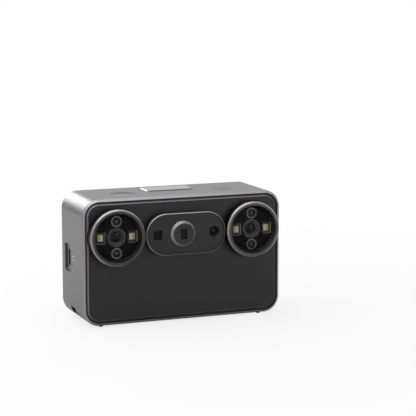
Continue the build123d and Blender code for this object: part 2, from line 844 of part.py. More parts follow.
# Raised panel between the cameras, with its bright border
with BuildPart() as optics_panel:
    with BuildSketch(facing_front(front_y)):
        with Locations((0, optics_z)):
            SlotOverall(panel_width, panel_height)
    extrude(amount=panel_rise)
    chamfer(optics_panel.edges().group_by(Axis.Y)[0], panel_edge_chamfer)
    with BuildSketch(facing_front(panel_face)):
        with Locations((0, optics_z)):
            SlotOverall(panel_width - 2 * panel_border, panel_height - 2 * panel_border)
    extrude(amount=panel_border_rise, mode=Mode.SUBTRACT)
    with BuildSketch(facing_front(bezel_back)):
        with Locations((0, optics_z)):
            SlotOverall(panel_width - 2 * panel_neck_inset, panel_height - 2 * panel_neck_inset)
    extrude(amount=bezel_back - front_y)
    with BuildSketch(facing_front(bezel_back)):
        with Locations((projector_x, optics_z)):
            Circle(projector_radius + slip_gap)
        with Locations((colour_camera_x, optics_z)):
            Circle(colour_bore_radius)
    extrude(amount=bezel_back - panel_front, mode=Mode.SUBTRACT)
    with BuildSketch(facing_front(panel_face)):
        with Locations((colour_camera_x, optics_z)):
            Circle(colour_mouth_radius)
    with BuildSketch(facing_front(panel_face + colour_mouth_depth)):
        with Locations((colour_camera_x, optics_z)):
            Circle(colour_bore_radius)
    loft(mode=Mode.SUBTRACT)
    with BuildSketch(facing_front(panel_face)):
        with Locations((sensor_x, optics_z)):
            Rectangle(sensor_mouth, sensor_mouth)
    with BuildSketch(facing_front(panel_face + sensor_depth)):
        with Locations((sensor_x, optics_z)):
            Rectangle(sensor_floor, sensor_floor)
    loft(mode=Mode.SUBTRACT)
optics_panel.part.label = "optics_panel"
export_step(optics_panel.part, "parts/optics_panel.step")

with BuildPart() as depth_sensor:
    with BuildSketch(facing_front(panel_face + sensor_depth)):
        with Locations((sensor_x, optics_z)):
            Rectangle(sensor_size, sensor_size)
    extrude(amount=sensor_thickness)
depth_sensor.part.label = "depth_sensor"
export_step(depth_sensor.part, "parts/depth_sensor.step")

# Pattern projector: chamfered nose, its window and the module behind
with BuildPart() as projector_housing:
    with BuildSketch(facing_front(bezel_back)):
        with Locations((projector_x, optics_z)):
            Circle(projector_radius)
    extrude(amount=bezel_back - projector_front)
    chamfer(projector_housing.edges().group_by(Axis.Y)[0], projector_chamfer)
    with BuildSketch(facing_front(bezel_back + projector_flange)):
        with Locations((projector_x, optics_z)):
            Circle(projector_flange_radius)
    extrude(amount=projector_flange)
    with BuildSketch(facing_front(projector_front + window_sink)):
        with Locations((projector_x, optics_z)):
            Rectangle(projector_window_width, projector_window_height)
    extrude(amount=window_sink, mode=Mode.SUBTRACT)
    with BuildSketch(facing_front(projector_front + window_sink)):
        with Locations((projector_x, optics_z)):
            Rectangle(projector_window_width + 2 * (window_border + seat_gap),
                      projector_window_height + 2 * (window_border + seat_gap))
    extrude(amount=projector_front + window_sink - bezel_back - projector_flange, mode=Mode.SUBTRACT)
projector_housing.part.label = "projector_housing"
export_step(projector_housing.part, "parts/projector_housing.step")

with BuildPart() as projector_window:
    with BuildSketch(facing_front(projector_front + window_sink + window_thickness)):
        with Locations((projector_x, optics_z)):
            Rectangle(projector_window_width + 2 * window_border, projector_window_height + 2 * window_border)
    extrude(amount=window_thickness)
projector_window.part.label = "projector_window"
export_step(projector_window.part, "parts/projector_window.step")

with BuildPart() as projector_module:
    with BuildSketch(facing_front(bezel_back + projector_flange)):
        with Locations((projector_x, optics_z)):
            RectangleRounded(projector_module_width, projector_module_height, projector_module_fillet)
    extrude(amount=-projector_module_length)
projector_module.part.label = "projector_module"
export_step(projector_module.part, "parts/projector_module.step")

# Colour camera
with BuildPart() as colour_barrel:
    barrel_top = panel_face + colour_mouth_depth
    with BuildSketch(turning_plane(colour_camera_x, optics_z)):
        with BuildLine():
            Polyline((colour_lens_radius + seat_gap, barrel_top + colour_dish),
                     (colour_bore_radius - seat_gap, barrel_top), (colour_bore_radius - seat_gap, bezel_back),
                     (0, bezel_back), (0, barrel_top + 2 * colour_dish),
                     (colour_lens_radius + seat_gap, barrel_top + 2 * colour_dish), close=True)
        make_face()
    revolve(axis=turning_axis(colour_camera_x, optics_z))
colour_barrel.part.label = "colour_barrel"
export_step(colour_barrel.part, "parts/colour_barrel.step")

with BuildPart() as colour_lens:
    with BuildSketch(turning_plane(colour_camera_x, optics_z)):
        with BuildLine():
            back_y = barrel_top + 2 * colour_dish
            edge_y = barrel_top + colour_dish
            Polyline((0, edge_y - colour_lens_crown), (0, back_y), (colour_lens_radius, back_y),
                     (colour_lens_radius, edge_y))
            RadiusArc((colour_lens_radius, edge_y), (0, edge_y - colour_lens_crown),
                      (colour_lens_radius ** 2 + colour_lens_crown ** 2) / (2 * colour_lens_crown))
        make_face()
    revolve(axis=turning_axis(colour_camera_x, optics_z))
colour_lens.part.label = "colour_lens"
export_step(colour_lens.part, "parts/colour_lens.step")

# Bracket behind the cameras, with standoffs to their boards
with BuildPart() as optics_bracket:
    with BuildSketch(facing_front(bracket_back)):
        with Locations((0, (bracket_bottom + bracket_top) / 2)):
            RectangleRounded(bracket_width, bracket_top - bracket_bottom, bracket_radius)
    extrude(amount=bracket_thickness)
    with BuildSketch(facing_front(bracket_front)):
        for sign in (-1, 1):
            with Locations((sign * camera_spacing / 2, optics_z)):
                with GridLocations(standoff_pitch, standoff_pitch, 2, 2):
                    RegularPolygon(standoff_radius, standoff_sides)
    extrude(amount=bracket_standoff)
    with BuildSketch(facing_front(bracket_back)):
        for sign in (-1, 1):
            with Locations((sign * camera_spacing / 2, optics_z)):
                RectangleRounded(bracket_window, bracket_window, bracket_radius)
        with Locations((projector_x, optics_z)):
            RectangleRounded(projector_module_width + 2 * run_gap, projector_module_height + 2 * run_gap,
                             projector_module_fillet + run_gap)
        with Locations(screw_places + bracket_screws_at):
            Circle(screw_clearance_radius)
    extrude(amount=bracket_thickness, mode=Mode.SUBTRACT)
optics_bracket.part.label = "optics_bracket"
export_step(optics_bracket.part, "parts/optics_bracket.step")

# Screws, each group in one node
with BuildPart() as cover_screws:
    for place_x, place_z in screw_places:
        with BuildSketch(turning_plane(place_x, place_z)):
            with BuildLine():
                Polyline(*screw_profile(bracket_front - screw_grip, bracket_back), close=True)
            make_face()
        revolve(axis=turning_axis(place_x, place_z))
cover_screws.part.label = "cover_screws"
export_step(cover_screws.part, "parts/cover_screws.step")

with BuildPart() as bracket_screws:
    for place_x, place_z in bracket_screws_at:
        with BuildSketch(turning_plane(place_x, place_z)):
            with BuildLine():
                Polyline(*screw_profile(bracket_back + screw_grip, bracket_front), close=True)
            make_face()
        revolve(axis=turning_axis(place_x, place_z))
bracket_screws.part.label = "bracket_screws"
export_step(bracket_screws.part, "parts/bracket_screws.step")

with BuildPart() as board_screws:
    for place_x, place_z in board_screws_at:
        with BuildSketch(turning_plane(place_x, place_z)):
            with BuildLine():
                Polyline(*screw_profile(main_board_back + screw_grip, main_board_front), close=True)
            make_face()
        revolve(axis=turning_axis(place_x, place_z))
board_screws.part.label = "board_screws"
export_step(board_screws.part, "parts/board_screws.step")

# Main board with its heat sink
with BuildPart() as main_board:
    with BuildSketch(facing_front(main_board_back)):
        with Locations((0, base_z + main_board_bottom + main_board_height / 2)):
            RectangleRounded(main_board_width, main_board_height, main_board_corner)
        with Locations(board_screws_at):
            Circle(screw_clearance_radius, mode=Mode.SUBTRACT)
    extrude(amount=main_board_thickness)
main_board.part.label = "main_board"
export_step(main_board.part, "parts/main_board.step")

with BuildPart() as heat_sink:
    with BuildSketch(facing_front(main_board_front)):
        with Locations((heat_sink_x, heat_sink_z)):
            Rectangle(heat_sink_width, heat_sink_height)
    extrude(amount=heat_sink_base)
    with BuildSketch(facing_front(main_board_front - heat_sink_base)):
        with Locations((heat_sink_x, heat_sink_z)):
            with GridLocations((heat_sink_width - fin_thickness) / (fin_count - 1), 0, fin_count, 1):
                Rectangle(fin_thickness, heat_sink_height)
    extrude(amount=fin_height)
heat_sink.part.label = "heat_sink"
export_step(heat_sink.part, "parts/heat_sink.step")

# Charging port: stadium shell with a closed back, and its tongue
with BuildPart() as port_case:
    with BuildSketch(facing_right(-port_floor)):
        with Locations(port_place):
            SlotOverall(port_length, port_thickness, rotation=90)
    extrude(amount=port_depth)
    with BuildSketch(facing_right(-port_floor)):
        with Locations(port_place):
            SlotOverall(port_length - 2 * port_wall, port_thickness - 2 * port_wall, rotation=90)
    extrude(amount=port_depth - port_back, mode=Mode.SUBTRACT)
port_case.part.label = "port_shell"
export_step(port_case.part, "parts/port_shell.step")

with BuildPart() as port_tongue:
    with BuildSketch(facing_right(port_depth - port_back - port_floor)):
        with Locations(port_place):
            Rectangle(tongue_thickness, tongue_length)
    extrude(amount=-tongue_reach)
port_tongue.part.label = "port_tongue"
export_step(port_tongue.part, "parts/port_tongue.step")

# Brass inserts for the lock screw and the tripod
with BuildPart() as lock_insert:
    with BuildSketch(facing_right(-lock_floor)):
        with Locations(lock_place):
            Circle(lock_radius)
            Circle(lock_bore_radius, mode=Mode.SUBTRACT)
    extrude(amount=lock_length)
lock_insert.part.label = "lock_insert"
export_step(lock_insert.part, "parts/lock_insert.step")

with BuildPart() as tripod_insert:
    with BuildSketch(facing_up(base_z)):
        with Locations((0, mid_y)):
            Circle(tripod_radius)
    extrude(amount=tripod_length)
    with BuildSketch(facing_up(base_z)):
        with Locations((0, mid_y)):
            Circle(tripod_bore_radius)
    extrude(amount=tripod_bore_depth, mode=Mode.SUBTRACT)
tripod_insert.part.label = "tripod_insert"
export_step(tripod_insert.part, "parts/tripod_insert.step")

with BuildPart() as lanyard_bar:
    with BuildSketch(Plane(origin=eyelet_middle + eyelet_out * eyelet_bar_reach, z_dir=eyelet.y_dir)):
        Circle(lanyard_bar_radius)
    extrude(amount=lanyard_width / 2 + lanyard_bar_seat, both=True)
lanyard_bar.part.label = "lanyard_bar"
export_step(lanyard_bar.part, "parts/lanyard_bar.step")

with BuildPart() as feet:
    with BuildSketch(facing_up(base_z)):
        with Locations(feet_at):
            Circle(foot_radius)
    extrude(amount=foot_sink)
    with Locations(*[(foot_x, foot_y, base_z) for foot_x, foot_y in feet_at]):
        Cone(foot_tip_radius, foot_radius, foot_height, align=(Align.CENTER, Align.CENTER, Align.MAX))
feet.part.label = "feet"
export_step(feet.part, "parts/feet.step")

# Antenna window and speaker in the top
with BuildPart() as antenna_window:
    with BuildSketch(facing_up(top_z - antenna_sink)):
        with Locations((0, antenna_y)):
            RectangleRounded(antenna_width - 2 * antenna_gap, antenna_depth - 2 * antenna_gap,
                             antenna_corner - antenna_gap)
    extrude(amount=antenna_sink + antenna_rise)
    chamfer(antenna_window.edges().group_by(Axis.Z)[-1], antenna_bevel)
antenna_window.part.label = "antenna_window"
export_step(antenna_window.part, "parts/antenna_window.step")

with BuildPart() as speaker:
    speaker_section = Plane(origin=(speaker_x, controls_y, 0), x_dir=(1, 0, 0), z_dir=(0, -1, 0))
    with BuildSketch(speaker_section):
        with BuildLine():
            Polyline((0, inner_top - speaker_rim), (speaker_radius - speaker_rim, inner_top - speaker_rim),
                     (speaker_radius - speaker_rim, inner_top), (speaker_radius, inner_top),
                     (speaker_radius, inner_top - speaker_depth / 2),
                     (speaker_magnet_radius, inner_top - speaker_depth), (0, inner_top - speaker_depth),
                     close=True)
        make_face()
    revolve(axis=Axis((speaker_x, controls_y, 0), (0, 0, 1)))
speaker.part.label = "speaker"
export_step(speaker.part, "parts/speaker.step")

# Scan button with its switch and board
with BuildPart() as scan_button:
    with BuildSketch(Plane(origin=(button_x, controls_y, 0), x_dir=(1, 0, 0), z_dir=(0, -1, 0))):
        with BuildLine():
            Polyline((button_radius, cap_top), (button_radius, flange_top),
                     (button_flange_radius, flange_top), (button_flange_radius, stem_top),
                     (button_stem_radius, stem_top),
                     (button_stem_radius, stem_top - button_stem), (0, stem_top - button_stem),
                     (0, cap_top - button_dish),
                     (button_radius - button_rim - button_slope, cap_top - button_dish),
                     (button_radius - button_rim, cap_top), close=True)
        make_face()
    revolve(axis=Axis((button_x, controls_y, 0), (0, 0, 1)))
scan_button.part.label = "scan_button"
export_step(scan_button.part, "parts/scan_button.step")

with BuildPart() as button_switch:
    with BuildSketch(facing_up(button_board_top)):
        with Locations((button_x, controls_y)):
            Rectangle(tact_size, tact_size)
    extrude(amount=tact_height)
    with BuildSketch(facing_up(plunger_top - plunger_height)):
        with Locations((button_x, controls_y)):
            Circle(plunger_radius)
    extrude(amount=plunger_height)
button_switch.part.label = "button_switch"
export_step(button_switch.part, "parts/button_switch.step")

with BuildPart() as button_board:
    with BuildSketch(facing_up(button_board_top)):
        with Locations((button_x, controls_y)):
            Rectangle(2 * (button_flange_radius + run_gap + button_post), button_board_width)
    extrude(amount=-board_thickness)
button_board.part.label = "button_board"
export_step(button_board.part, "parts/button_board.step")

# Power switch: plate, slider and the switch body that guides it
with BuildPart() as switch_plate:
    with BuildSketch(facing_right(plate_floor_x)):
        with Locations((switch_y, switch_plate_z)):
            RectangleRounded(switch_plate_width, switch_plate_height, switch_plate_corner)
        with Locations((switch_y, slot_z)):
            Rectangle(slot_width, slot_length, mode=Mode.SUBTRACT)
    extrude(amount=switch_plate_thickness)
switch_plate.part.label = "switch_plate"
export_step(switch_plate.part, "parts/switch_plate.step")

with BuildPart() as power_slider:
    with BuildSketch(facing_right(slider_flange_x - slider_flange_thickness)):
        with Locations((switch_y, slider_z)):
            Rectangle(slider_flange_width, slider_flange_height)
    extrude(amount=slider_flange_thickness)
    with BuildSketch(facing_right(slider_flange_x)):
        with Locations((switch_y, slider_z)):
            Rectangle(slot_width - 2 * run_gap, slider_length)
    extrude(amount=side_x - slider_sink - slider_flange_x)
    with BuildSketch(facing_right(side_x - slider_sink - slider_rib)):
        with Locations((switch_y, slider_z)):
            with GridLocations(0, 2 * slider_rib, 1, grip_ribs):
                Rectangle(slot_width, slider_rib)
    extrude(amount=slider_rib, mode=Mode.SUBTRACT)
power_slider.part.label = "power_slider"
export_step(power_slider.part, "parts/power_slider.step")

with BuildPart() as slide_switch:
    leg_y = slider_flange_width / 2 + run_gap + switch_leg / 2
    with BuildSketch(facing_right(switch_body_x - switch_body_depth)):
        with Locations((switch_y, slot_z)):
            Rectangle(2 * leg_y + switch_leg, switch_body_height)
    extrude(amount=switch_body_depth)
    with BuildSketch(facing_right(switch_body_x)):
        with Locations((switch_y - leg_y, slot_z), (switch_y + leg_y, slot_z)):
            Rectangle(switch_leg, switch_body_height)
    extrude(amount=inner_x - switch_body_x)
slide_switch.part.label = "slide_switch"
export_step(slide_switch.part, "parts/slide_switch.step")

# Battery door: plate with a hinge barrel along its lower edge and guide rails for the latch
with BuildPart() as battery_door:
    with BuildSketch(facing_right(hinge_x)) as door_face:
        with Locations((door_y, (hinge_z + door_top_z) / 2)):
            Rectangle(door_width, door_top_z - hinge_z)
        fillet(door_face.vertices().group_by(Axis.Y)[-1], door_corner)
    extrude(amount=door_thickness)
    with BuildSketch(facing_front(door_y + door_width / 2)):
        with Locations((hinge_x, hinge_z)):
            Circle(door_thickness)
    extrude(amount=door_width)
    with BuildSketch(facing_right(rail_lip_x)):
        with Locations((door_y - rail_y, (rail_bottom_z + rail_top_z) / 2),
                       (door_y + rail_y, (rail_bottom_z + rail_top_z) / 2)):
            Rectangle(rail_width, rail_top_z - rail_bottom_z)
    extrude(amount=hinge_x - rail_lip_x)
    with BuildSketch(facing_right(rail_lip_x)):
        for sign in (-1, 1):
            lip_y = door_y + sign * (rail_y - rail_width / 2 - rail_lip / 2 + slip_gap)
            with Locations((lip_y, (rail_bottom_z + rail_top_z) / 2)):
                Rectangle(rail_lip + 2 * slip_gap, rail_top_z - rail_bottom_z)
    extrude(amount=rail_lip_thickness)
    with BuildSketch(facing_right(hinge_x)):
        with Locations((door_y, latch_z)):
            Rectangle(latch_window_width, latch_window_height)
    extrude(amount=door_thickness, mode=Mode.SUBTRACT)
    with BuildSketch(facing_front(door_y + door_width / 2)):
        with Locations((hinge_x, hinge_z)):
            Circle(hinge_pin_radius + pin_gap)
    extrude(amount=door_width, mode=Mode.SUBTRACT)
battery_door.part.label = "battery_door"
export_step(battery_door.part, "parts/battery_door.step")

with BuildPart() as hinge_pin:
    with BuildSketch(facing_front(door_y)):
        with Locations((hinge_x, hinge_z)):
            Circle(hinge_pin_radius)
    extrude(amount=door_width / 2 + run_gap + hinge_pin_seat, both=True)
hinge_pin.part.label = "hinge_pin"
export_step(hinge_pin.part, "parts/hinge_pin.step")

# Latch: plate that slides behind the door, its knob in the window and a bolt at the top
with BuildPart() as door_latch:
    bolt_top_z = door_mouth_z - latch_bolt_gap
    with BuildSketch(facing_right(latch_face_x - latch_thickness)):
        with Locations((door_y, (rail_bottom_z + rail_top_z) / 2)):
            Rectangle(latch_plate_width, rail_top_z - rail_bottom_z)
    extrude(amount=latch_thickness)
    bolt_bottom_z = rail_top_z - latch_bolt_width
    with BuildSketch(facing_right(inner_x - run_gap - latch_thickness)):
        with Locations((door_y, (bolt_bottom_z + bolt_top_z) / 2)):
            Rectangle(latch_bolt_width, bolt_top_z - bolt_bottom_z)
    extrude(amount=latch_thickness)
    with BuildSketch(facing_right(latch_face_x)):
        with Locations((door_y, latch_z)):
            Rectangle(latch_window_width - 2 * run_gap, latch_knob_height)
    extrude(amount=side_x - latch_knob_sink - latch_face_x)
    with BuildSketch(facing_right(side_x - latch_knob_sink - knob_rib)):
        with Locations((door_y, latch_z)):
            with GridLocations(0, 2 * knob_rib, 1, grip_ribs):
                Rectangle(latch_window_width, knob_rib)
    extrude(amount=knob_rib, mode=Mode.SUBTRACT)
door_latch.part.label = "door_latch"
export_step(door_latch.part, "parts/door_latch.step")

# Battery pack in its tray, with the spring contacts at the far end
with BuildPart() as battery_pack:
    with BuildSketch(facing_right(battery_far_x)):
        with Locations((door_y, battery_bottom + battery_height / 2)):
            RectangleRounded(battery_width, battery_height, battery_fillet)
    extrude(amount=battery_length)
battery_pack.part.label = "battery_pack"
export_step(battery_pack.part, "parts/battery_pack.step")

with BuildPart() as battery_tray:
    tray_width = battery_width + 2 * (run_gap + tray_wall)
    tray_top = battery_bottom + tray_rise
    with BuildSketch(facing_right(tray_end_x)):
        with Locations((door_y, (inner_floor + tray_top) / 2)):
            Rectangle(tray_width, tray_top - inner_floor)
        with Locations((door_y, (battery_bottom + tray_top) / 2)):
            Rectangle(tray_width - 2 * tray_wall, tray_rise, mode=Mode.SUBTRACT)
        with Locations((door_y, (inner_floor + tray_under) / 2)):
            Rectangle(tray_width - 2 * tray_wall, tray_under - inner_floor, mode=Mode.SUBTRACT)
    extrude(amount=corner_x - tray_end_x)
    with BuildSketch(facing_up(inner_floor)):
        with Locations((0, mid_y)):
            Circle(tripod_boss_radius + run_gap)
    extrude(amount=tray_under - inner_floor, mode=Mode.SUBTRACT)
    with BuildSketch(facing_right(tray_end_x)):
        with Locations((door_y, inner_floor + (battery_bottom + battery_height - inner_floor) / 2)):
            Rectangle(tray_width, battery_bottom + battery_height - inner_floor)
    extrude(amount=-tray_end)
battery_tray.part.label = "battery_tray"
export_step(battery_tray.part, "parts/battery_tray.step")

with BuildPart() as battery_contacts:
    with BuildSketch(facing_right(tray_end_x)):
        with Locations((door_y, battery_bottom + battery_height / 2)):
            with GridLocations(contact_pitch, 0, contact_count, 1):
                Circle(contact_radius)
    extrude(amount=contact_length)
battery_contacts.part.label = "battery_contacts"
export_step(battery_contacts.part, "parts/battery_contacts.step")
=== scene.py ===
"""Looks of a pocket three-d scanner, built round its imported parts.

Finishes for every part, the picture on the display, the marks at the switch, the threads, contacts and lamps,
and the studio with its camera. Everything is in metres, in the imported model's own frame.
"""

from __future__ import annotations

import logging
import math
from collections.abc import Iterable, Sequence
from dataclasses import dataclass
from enum import Enum

import bmesh
import bpy
from mathutils import Matrix, Vector


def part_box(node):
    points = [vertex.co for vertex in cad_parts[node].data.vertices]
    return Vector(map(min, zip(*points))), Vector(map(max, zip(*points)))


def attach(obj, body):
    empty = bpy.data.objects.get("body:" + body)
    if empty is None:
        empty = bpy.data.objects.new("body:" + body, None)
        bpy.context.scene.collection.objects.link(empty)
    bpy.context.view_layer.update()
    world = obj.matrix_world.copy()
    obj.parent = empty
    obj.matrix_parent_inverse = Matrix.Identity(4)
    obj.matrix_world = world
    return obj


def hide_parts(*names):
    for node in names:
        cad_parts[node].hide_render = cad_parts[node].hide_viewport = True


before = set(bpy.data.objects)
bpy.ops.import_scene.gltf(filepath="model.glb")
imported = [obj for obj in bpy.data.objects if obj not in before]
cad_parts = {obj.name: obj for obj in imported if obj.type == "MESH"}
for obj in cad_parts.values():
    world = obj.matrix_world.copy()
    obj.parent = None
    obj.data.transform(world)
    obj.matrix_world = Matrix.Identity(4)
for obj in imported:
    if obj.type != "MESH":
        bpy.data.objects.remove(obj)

LOG = logging.getLogger("scanner")
MM = 0.001

# Share of a font's size that its capitals take up.
CAPITAL_SHARE = 0.72
# Cosines of the turn across an edge at which it counts as fully worn and as flat.
EDGE_TURN = (0.86, 0.995)
# Half the width of the blend between two tones, by slope and by length.
SLOPE_BLEND = 0.02
EDGE_BLEND = 0.02 * MM

Colour = tuple[float, float, float]
Point2 = tuple[float, float]
Socket = bpy.types.NodeSocket


class Body(Enum):
    """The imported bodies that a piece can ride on."""

    CASE = "case"
    BUTTON = "scan_button"
    SLIDER = "power_slider"
    DOOR = "battery_door"
    LATCH = "door_latch"


class Facing(Enum):
    """The way a flat piece looks: the two axes of its outline, then its outward direction."""

    REAR = ((-1.0, 0.0, 0.0), (0.0, 0.0, 1.0), (0.0, 1.0, 0.0))
    FRONT = ((1.0, 0.0, 0.0), (0.0, 0.0, 1.0), (0.0, -1.0, 0.0))
    RIGHT = ((0.0, 1.0, 0.0), (0.0, 0.0, 1.0), (1.0, 0.0, 0.0))

    def matrix(self, origin: Vector) -> Matrix:
        """Place of a flat piece.

        Args:
            origin: Where the middle of its outline goes.

        Returns:
            The matrix from the outline's own axes to the frame.
        """
        across, up, out = (Vector(axis) for axis in self.value)
        turned = Matrix((across, up, out)).transposed().to_4x4()
        return Matrix.Translation(origin) @ turned


def grey(level: float) -> Colour:
    """A neutral linear colour of that level."""
    return (level, level, level)


class Graph:
    """A material's node tree, with short ways to add and join its nodes."""

    def __init__(self, name: str) -> None:
        """Start an empty tree that ends in a Principled shader.

        Args:
            name: The material's name.
        """
        self.material = bpy.data.materials.new(name)
        self.material.use_nodes = True
        self.tree = self.material.node_tree
        self.tree.nodes.clear()
        self.shader = self.add("ShaderNodeBsdfPrincipled")
        output = self.add("ShaderNodeOutputMaterial")
        self.link(self.shader.outputs["BSDF"], output.inputs["Surface"])
        self.place = self.add("ShaderNodeTexCoord").outputs["Object"]

    def add(self, kind: str, **settings: object) -> bpy.types.Node:
        """Add a node.

        Args:
            kind: Blender's name of the node.
            **settings: Values of its own properties.

        Returns:
            The new node.
        """
        node = self.tree.nodes.new(kind)
        for key, value in settings.items():
            setattr(node, key, value)
        return node

    def link(self, source: Socket, target: Socket) -> None:
        """Join two sockets."""
        self.tree.links.new(source, target)

    def set(self, **values: object) -> None:
        """Set sockets of the shader, with underscores for the spaces in their names."""
        for key, value in values.items():
            name = " ".join(word if word == "IOR" else word.capitalize() for word in key.split("_"))
            self.shader.inputs[name].default_value = value

    def noise(self, size: float, detail: float = 3.0) -> Socket:
        """Soft noise in the frame's own space.

        Args:
            size: Length of one mottle, in metres.
            detail: Octaves of finer noise.

        Returns:
            The noise's factor, from 0 to 1.
        """
        node = self.add("ShaderNodeTexNoise")
        node.inputs["Scale"].default_value = 1.0 / size
        node.inputs["Detail"].default_value = detail
        self.link(self.place, node.inputs["Vector"])
        return node.outputs["Fac"]

    def cells(self, size: float) -> Socket:
        """Distance to the middle of round cells of that size, in the frame's own space."""
        node = self.add("ShaderNodeTexVoronoi", feature="F1")
        node.inputs["Scale"].default_value = 1.0 / size
        self.link(self.place, node.inputs["Vector"])
        return node.outputs["Distance"]

    def spread(self, factor: Socket, ends: Point2, low: float = 0.0, high: float = 1.0) -> Socket:
        """Map a factor from low and high onto two end values, clamped.

        Args:
            factor: What is mapped.
            ends: The values at low and at high.
            low: Factor that gives the first end.
            high: Factor that gives the second end.

        Returns:
            The mapped value.
        """
        node = self.add("ShaderNodeMapRange")
        node.inputs["From Min"].default_value = low
        node.inputs["From Max"].default_value = high
        node.inputs["To Min"].default_value, node.inputs["To Max"].default_value = ends
        self.link(factor, node.inputs["Value"])
        return node.outputs["Result"]

    def mix(self, factor: Socket, first: Colour | Socket, second: Colour | Socket) -> Socket:
        """Blend two colours by a factor.

        Args:
            factor: 0 gives the first colour, 1 the second.
            first: A colour, or a socket that gives one.
            second: A colour, or a socket that gives one.

        Returns:
            The blended colour.
        """
        node = self.add("ShaderNodeMix", data_type="RGBA")
        self.link(factor, node.inputs["Factor"])
        for socket, value in zip((node.inputs[6], node.inputs[7]), (first, second)):
            if isinstance(value, bpy.types.NodeSocket):
                self.link(value, socket)
            else:
                socket.default_value = (*value, 1.0)
        return node.outputs[2]

    def maths(self, operation: str, first: Socket, second: Socket | float) -> Socket:
        """One step of arithmetic on two values."""
        node = self.add("ShaderNodeMath", operation=operation)
        self.link(first, node.inputs[0])
        if isinstance(second, bpy.types.NodeSocket):
            self.link(second, node.inputs[1])
        else:
            node.inputs[1].default_value = second
        return node.outputs[0]

    def axis(self, name: str) -> Socket:
        """A point's place along one axis of the frame, in metres."""
        node = self.add("ShaderNodeSeparateXYZ")
        self.link(self.place, node.inputs[0])
        return node.outputs[name]

    def slope(self, name: str) -> Socket:
        """How far a face looks along one axis of the frame, from -1 to 1."""
        node = self.add("ShaderNodeSeparateXYZ")
        self.link(self.add("ShaderNodeTexCoord").outputs["Normal"], node.inputs[0])
        return node.outputs[name]

    def reach(self, middle: Point2, straight: float = 0.0) -> Socket:
        """Distance from a point of the front, or from a level line through it.

        Args:
            middle: Place of the point along X and Z.
            straight: Half the length of the line.

        Returns:
            The distance in metres, measured along the front.
        """
        across = self.maths("ABSOLUTE", self.maths("SUBTRACT", self.axis("X"), middle[0]), 0.0)
        across = self.maths("MAXIMUM", self.maths("SUBTRACT", across, straight), 0.0)
        up = self.maths("SUBTRACT", self.axis("Z"), middle[1])
        square = self.maths("ADD", self.maths("MULTIPLY", across, across), self.maths("MULTIPLY", up, up))
        return self.maths("POWER", square, 0.5)

    def edges(self, radius: float) -> Socket:
        """A mask that rises from 0 to 1 along sharp edges.

        Args:
            radius: How far the mask reaches from an edge, in metres.

        Returns:
            The mask.
        """
        rounded = self.add("ShaderNodeBevel", samples=4)
        rounded.inputs["Radius"].default_value = radius
        product = self.add("ShaderNodeVectorMath", operation="DOT_PRODUCT")
        self.link(rounded.outputs["Normal"], product.inputs[0])
        self.link(self.add("ShaderNodeNewGeometry").outputs["Normal"], product.inputs[1])
        return self.spread(product.outputs["Value"], (1.0, 0.0), *EDGE_TURN)

    def bump(self, height: Socket, depth: float) -> None:
        """Raise the shaded surface by a height.

        Args:
            height: The height, from 0 to 1.
            depth: How far 1 stands above 0, in metres.
        """
        node = self.add("ShaderNodeBump")
        node.inputs["Distance"].default_value = depth
        node.inputs["Strength"].default_value = 1.0
        self.link(height, node.inputs["Height"])
        self.link(node.outputs["Normal"], self.shader.inputs["Normal"])

    def colour(self, source: Socket) -> None:
        """Use a colour as the shader's base colour."""
        self.link(source, self.shader.inputs["Base Color"])

    def rough(self, source: Socket) -> None:
        """Use a value as the shader's roughness."""
        self.link(source, self.shader.inputs["Roughness"])


@dataclass(frozen=True)
class Finish:
    """A grained surface whose tone and gloss drift a little, with paler worn edges."""

    name: str
    colour: Colour
    shade: Colour
    roughness: Point2
    metallic: float = 0.0
    specular: float = 0.5
    coat: float = 0.0
    coat_roughness: float = 0.15
    grain: float = 0.12 * MM
    depth: float = 0.004 * MM
    drift: float = 9.0 * MM
    wear: Colour | None = None
    wear_reach: float = 0.12 * MM

    def graph(self) -> Graph:
        """Build the finish's nodes.

        Returns:
            The node tree, open for more nodes.
        """
        graph = Graph(self.name)
        graph.set(metallic=self.metallic, specular_IOR_level=self.specular)
        graph.set(coat_weight=self.coat, coat_roughness=self.coat_roughness)
        drift = graph.noise(self.drift, 4.0)
        grain = graph.noise(self.grain, 2.0)
        tone = graph.mix(graph.spread(drift, (0.0, 1.0), 0.3, 0.7), self.shade, self.colour)
        speckle = graph.spread(grain, (0.0, 0.22), 0.45, 0.75)
        tone = graph.mix(speckle, tone, self.colour)
        if self.wear is not None:
            worn = graph.maths("MULTIPLY", graph.edges(self.wear_reach), graph.spread(drift, (0.25, 0.8), 0.3, 0.7))
            tone = graph.mix(worn, tone, self.wear)
        graph.colour(tone)
        graph.rough(graph.spread(graph.maths("ADD", drift, grain), self.roughness, 0.6, 1.4))
        graph.bump(grain, self.depth)
        return graph

    def material(self) -> bpy.types.Material:
        """The finish as a material."""
        return self.graph().material


